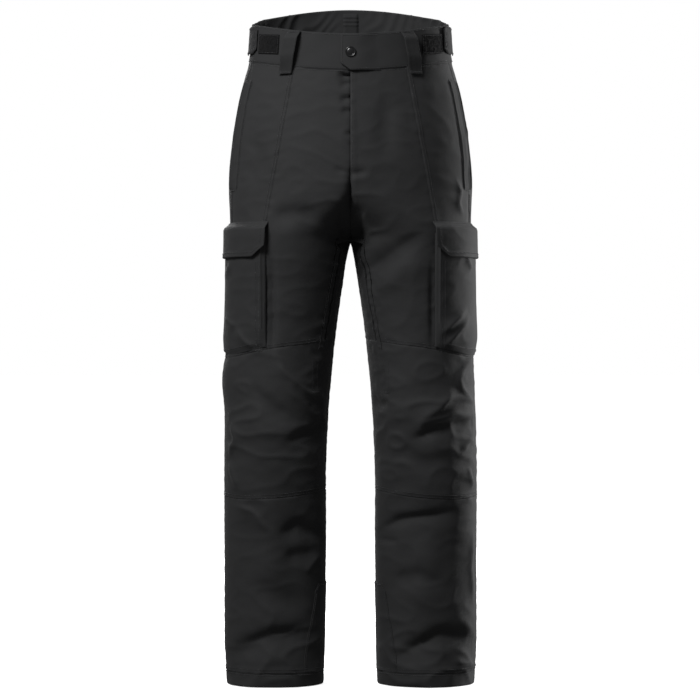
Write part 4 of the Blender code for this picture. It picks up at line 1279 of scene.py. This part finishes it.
def adjuster_tab(side, label):
    """Tab that wraps forward over the landing patch from its hinge near the back band."""
    free_angle, hinge_angle, middle, half = 66.5, 93.0, 0.0165, 0.0225
    cut = lambda a: 0.006 * np.clip(1 - (a - free_angle) / 5.0, 0, 1)
    low, high = lambda a: middle - half + cut(a), lambda a: middle + half - cut(a)
    p = patch(side, always(free_angle), always(hinge_angle), low, high, step=2.2 * MM)
    base = p.points()
    crumple = 0.9 * MM * noise(base, (0.014, 0.014, 0.010), 41)
    crumple += 0.5 * MM * ridges(base, (0.02, 0.02, 0.014), 42)
    lift = 4.4 * MM + 0.5 * MM * smoothstep(0.0062, 0.0052, p.near())
    lift = lift + crumple * smoothstep(hinge_angle, 84.0, p.angle)
    soft = rounded(p, 1.44 * MM, 0.9 * MM)
    made = cloth(f"adjuster_tab_cloth_{label}", p, lift, 1.8 * MM, [TRIM], soft, sharp=80.0)
    angle, z = np.linspace(68.0, 91.0, 30), np.linspace(middle - half + 0.009, middle + half - 0.009, 12)
    rows = (angle, low(angle) + 3.0 * MM), (angle, high(angle) - 3.0 * MM), (68.3, z), (70.6, z)
    for row in rows:
        sew(f"tab_{label}", side, *row, 4.9 * MM, folded=False)
    threads = stitching(f"adjuster_{label}", f"tab_{label}")
    ends = [place(side, a, middle, 3.4 * MM) for a in (hinge_angle, 86.0)]
    node = f"adjuster_tab_{label}"
    hinged(made, threads, ends, "trim_fabric", node, "waistband_back")


def waist_tab():
    """Pull tab over the front opening: its lower free corner is cut off, its hinged end lies flush."""
    hinge_angle, free_angle = (float(angle_at_x(x, 0.0)) for x in (TAB_HINGE_X, -TAB_FREE_X))

    def low(angle):
        across = place(1, angle, np.zeros_like(angle))[..., 0]
        slope = np.where(across < 0, -0.0118 / TAB_FREE_X, 0.0018 / TAB_HINGE_X)
        return -0.0400 + slope * across

    top = lambda angle: 0.0190 + 0.0012 * smoothstep(8.0, 16.0, angle)
    climb = lambda angle: smoothstep(hinge_angle, hinge_angle - 13.0, angle)
    p = patch(1, always(free_angle), always(hinge_angle), low, top, step=2.2 * MM)
    start, _, below, above = p.edges()
    flush = climb(p.angle)
    lift = TAB_OFFSET + TAB_RISE * flush + 0.5 * MM * noise(p.points(), (0.03, 0.03, 0.02), 51)
    lift = lift - 0.35 * MM * bump(0.0026, 0.0010, np.minimum.reduce((start, below, above))) * flush
    thickness, soft = 2.0 * MM * (0.35 + 0.65 * flush), rounded(p, 1.6 * MM, 1.0 * MM, "o.oo")
    made = cloth("waist_tab_cloth", p, lift, thickness, [BAND], soft, sharp=80.0)
    inset = beside(always(free_angle), 0.0, EDGE_ROW)
    angle = np.linspace(inset, hinge_angle - 1.0, 40)
    rows = [(angle, low(angle) + EDGE_ROW), (angle, top(angle) - EDGE_ROW)]
    for row in [(inset, np.linspace(0.0165, -0.0265, 14)), *rows]:
        sew("tab", 1, *row, TAB_OFFSET + TAB_RISE * climb(row[0]), folded=False)
    threads = stitching("waist_tab", "tab")
    ends = [place(1, a, 0.0, TAB_OFFSET + TAB_RISE) for a in (hinge_angle, hinge_angle - 4.0)]
    hinged(made, threads, ends, "shell_fabric", "waist_tab", "waistband_front_left")

    cap = ((0.0, 2.0), (2.2, 1.95), (4.4, 1.7), (5.3, 1.3), (5.7, 1.0), (6.1, 1.05), (6.7, 1.75), (7.3, 2.15),
           (7.9, 2.1), (8.35, 1.7), (8.5, 1.1), (8.5, 0.0))  # fmt: skip
    button("snap_cap_dome", "snap_cap", "front_tab", 6.2 * MM, cap)
    stud = ((0.0, 1.6), (1.6, 1.6), (2.0, 1.2), (2.2, 0.7), (4.4, 0.6), (4.9, 0.35), (5.0, 0.0))
    button("snap_stud_disc", "snap_stud", "garment", 2.2 * MM, stud)


def button(name, node, body, offset, profile):
    """Turned button standing on the band, facing forward. profile is (radius, height) in millimetres."""
    sides = 56
    around = np.linspace(0, 2 * math.pi, sides, endpoint=False)
    local = [(0, -profile[0][1], 0)]
    for radius, height in profile[1:]:
        local += [(radius * math.cos(turn), -height, radius * math.sin(turn)) for turn in around]
    faces = [(0, 1 + (i + 1) % sides, 1 + i) for i in range(sides)]
    for a in range(1, 1 + (len(profile) - 2) * sides, sides):
        b = a + sides
        faces += [(a + i, a + (i + 1) % sides, b + (i + 1) % sides, b + i) for i in range(sides)]
    faces.append(tuple(range(1 + (len(profile) - 2) * sides, len(local))))
    points = place(1, 0.0, SNAP_Z, offset) + MM * np.array(local)
    settle(build(name, points, faces, [ENAMEL], sharp=45.0), body, "snap_metal", node)


# ---- Stage -----------------------------------------------------------------------------

CAMERA_DISTANCE, VIEW_WIDTH, CAMERA_X, CAMERA_Z = 5.0, 1.1452, -0.0008, -0.4875
SENSOR = 36.0  # millimetres
FLOOR_GAP, FLOOR_REACH = 0.0015, 60.0
PAPER, PAPER_GLOW, WORLD = (0.93, 0.93, 0.93), 0.88, 0.15
LIGHTS = (  # name, place, aim, size, energy
    ("key", (-1.15, -1.50, 1.45), (0, 0, -0.20), (0.90, 0.90), 64.0),
    ("rim", (2.7, 1.6, 0.0), (0.15, 0, -0.5), (0.30, 2.2), 105.0),
    ("back", (-1.0, 2.9, 0.9), (0, 0.1, -0.5), (1.4, 1.4), 50.0),
)


def add(name, data):
    made = bpy.data.objects.new(name, data)
    bpy.context.collection.objects.link(made)
    return made


def floor():
    """Paper sweep that shows as white and lights nothing."""
    paper = Look("paper_sweep", PAPER, 0.9)
    paper.tint(paper.noise(3.0), 0.01)
    paper.shader["Emission Color"].default_value = (1, 1, 1, 1)
    paper.shader["Emission Strength"].default_value = PAPER_GLOW
    mesh = bpy.data.meshes.new("floor")
    signs = ((-1, -1), (1, -1), (1, 1), (-1, 1))
    corners = [(x * FLOOR_REACH, y * FLOOR_REACH, CAD_BOX[0][2] - FLOOR_GAP) for x, y in signs]
    mesh.from_pydata(corners, [], [(0, 1, 2, 3)])
    mesh.materials.append(paper.material)
    made = add("floor", mesh)
    made.visible_diffuse = made.visible_glossy = False


def studio():
    """A white world that only the camera sees at full strength, and three lights."""
    world = bpy.data.worlds.new("studio")
    world.use_nodes = True
    nodes = Nodes(world.node_tree)
    seen = nodes.add("LightPath").outputs["Is Camera Ray"]
    background = nodes.tree.nodes["Background"].inputs
    background["Color"].default_value = (1, 1, 1, 1)
    nodes.feed(background["Strength"], nodes.scaled(seen, 1.0 - WORLD, WORLD))
    bpy.context.scene.world = world
    for name, spot, aim, size, energy in LIGHTS:
        light = bpy.data.lights.new(name, "AREA")
        light.shape = "RECTANGLE"
        light.size, light.size_y = size
        light.energy = energy
        lamp = add(name, light)
        lamp.location = spot
        lamp.rotation_euler = (Vector(aim) - Vector(spot)).to_track_quat("-Z", "Y").to_euler()


def camera():
    lens = bpy.data.cameras.new("camera")
    lens.sensor_width = SENSOR
    lens.lens = SENSOR * CAMERA_DISTANCE / VIEW_WIDTH
    eye = add("camera", lens)
    eye.location = (CAMERA_X, -CAMERA_DISTANCE, CAMERA_Z)
    eye.rotation_euler = (math.radians(90), 0, 0)
    scene = bpy.context.scene
    scene.camera = eye
    scene.view_settings.view_transform = "Standard"
    scene.view_settings.look = "None"


# ---- Everything ------------------------------------------------------------------------

for side, label in SIDES:
    upper_leg(side, label)
    lower_leg(side, label)
    cargo_pocket(side, label)
    cargo_flap(side, label)
    hand_pocket(side, label)
    thigh_vent(side, label)
    waistband(side, label)
    landing_patch(side, label)
    adjuster_tab(side, label)
    belt_loop("front", side, 33.6, 36.9, f"_{label}")
    belt_loop("rear", side, 145.0, 145.0, f"_{label}")
belt_loop("centre_back", 1, 180.0, 180.0)
edges = BAND_SIDE_ANGLE + 0.6, 360 - BAND_SIDE_ANGLE - 0.6
band_panel("waistband_back", "", 1, *edges, [BAND], "gathered", "back_panel_cloth_left")
back_band_patch()
waist_tab()
fly()
for side, label in SIDES:
    settle(stitching(f"upper_{label}", f"upper_{label}"), "garment", "shell_fabric")
    settle(stitching(f"lower_{label}", f"lower_{label}"), f"lower_leg_{label}", "trim_fabric")
    threads = stitching(f"knee_{label}", f"knee_{label}")
    knee_bend(threads, side)
    dress(threads, "shell_fabric")
settle(stitching("band", "band"), "garment", "shell_fabric")
floor()
studio()
camera()
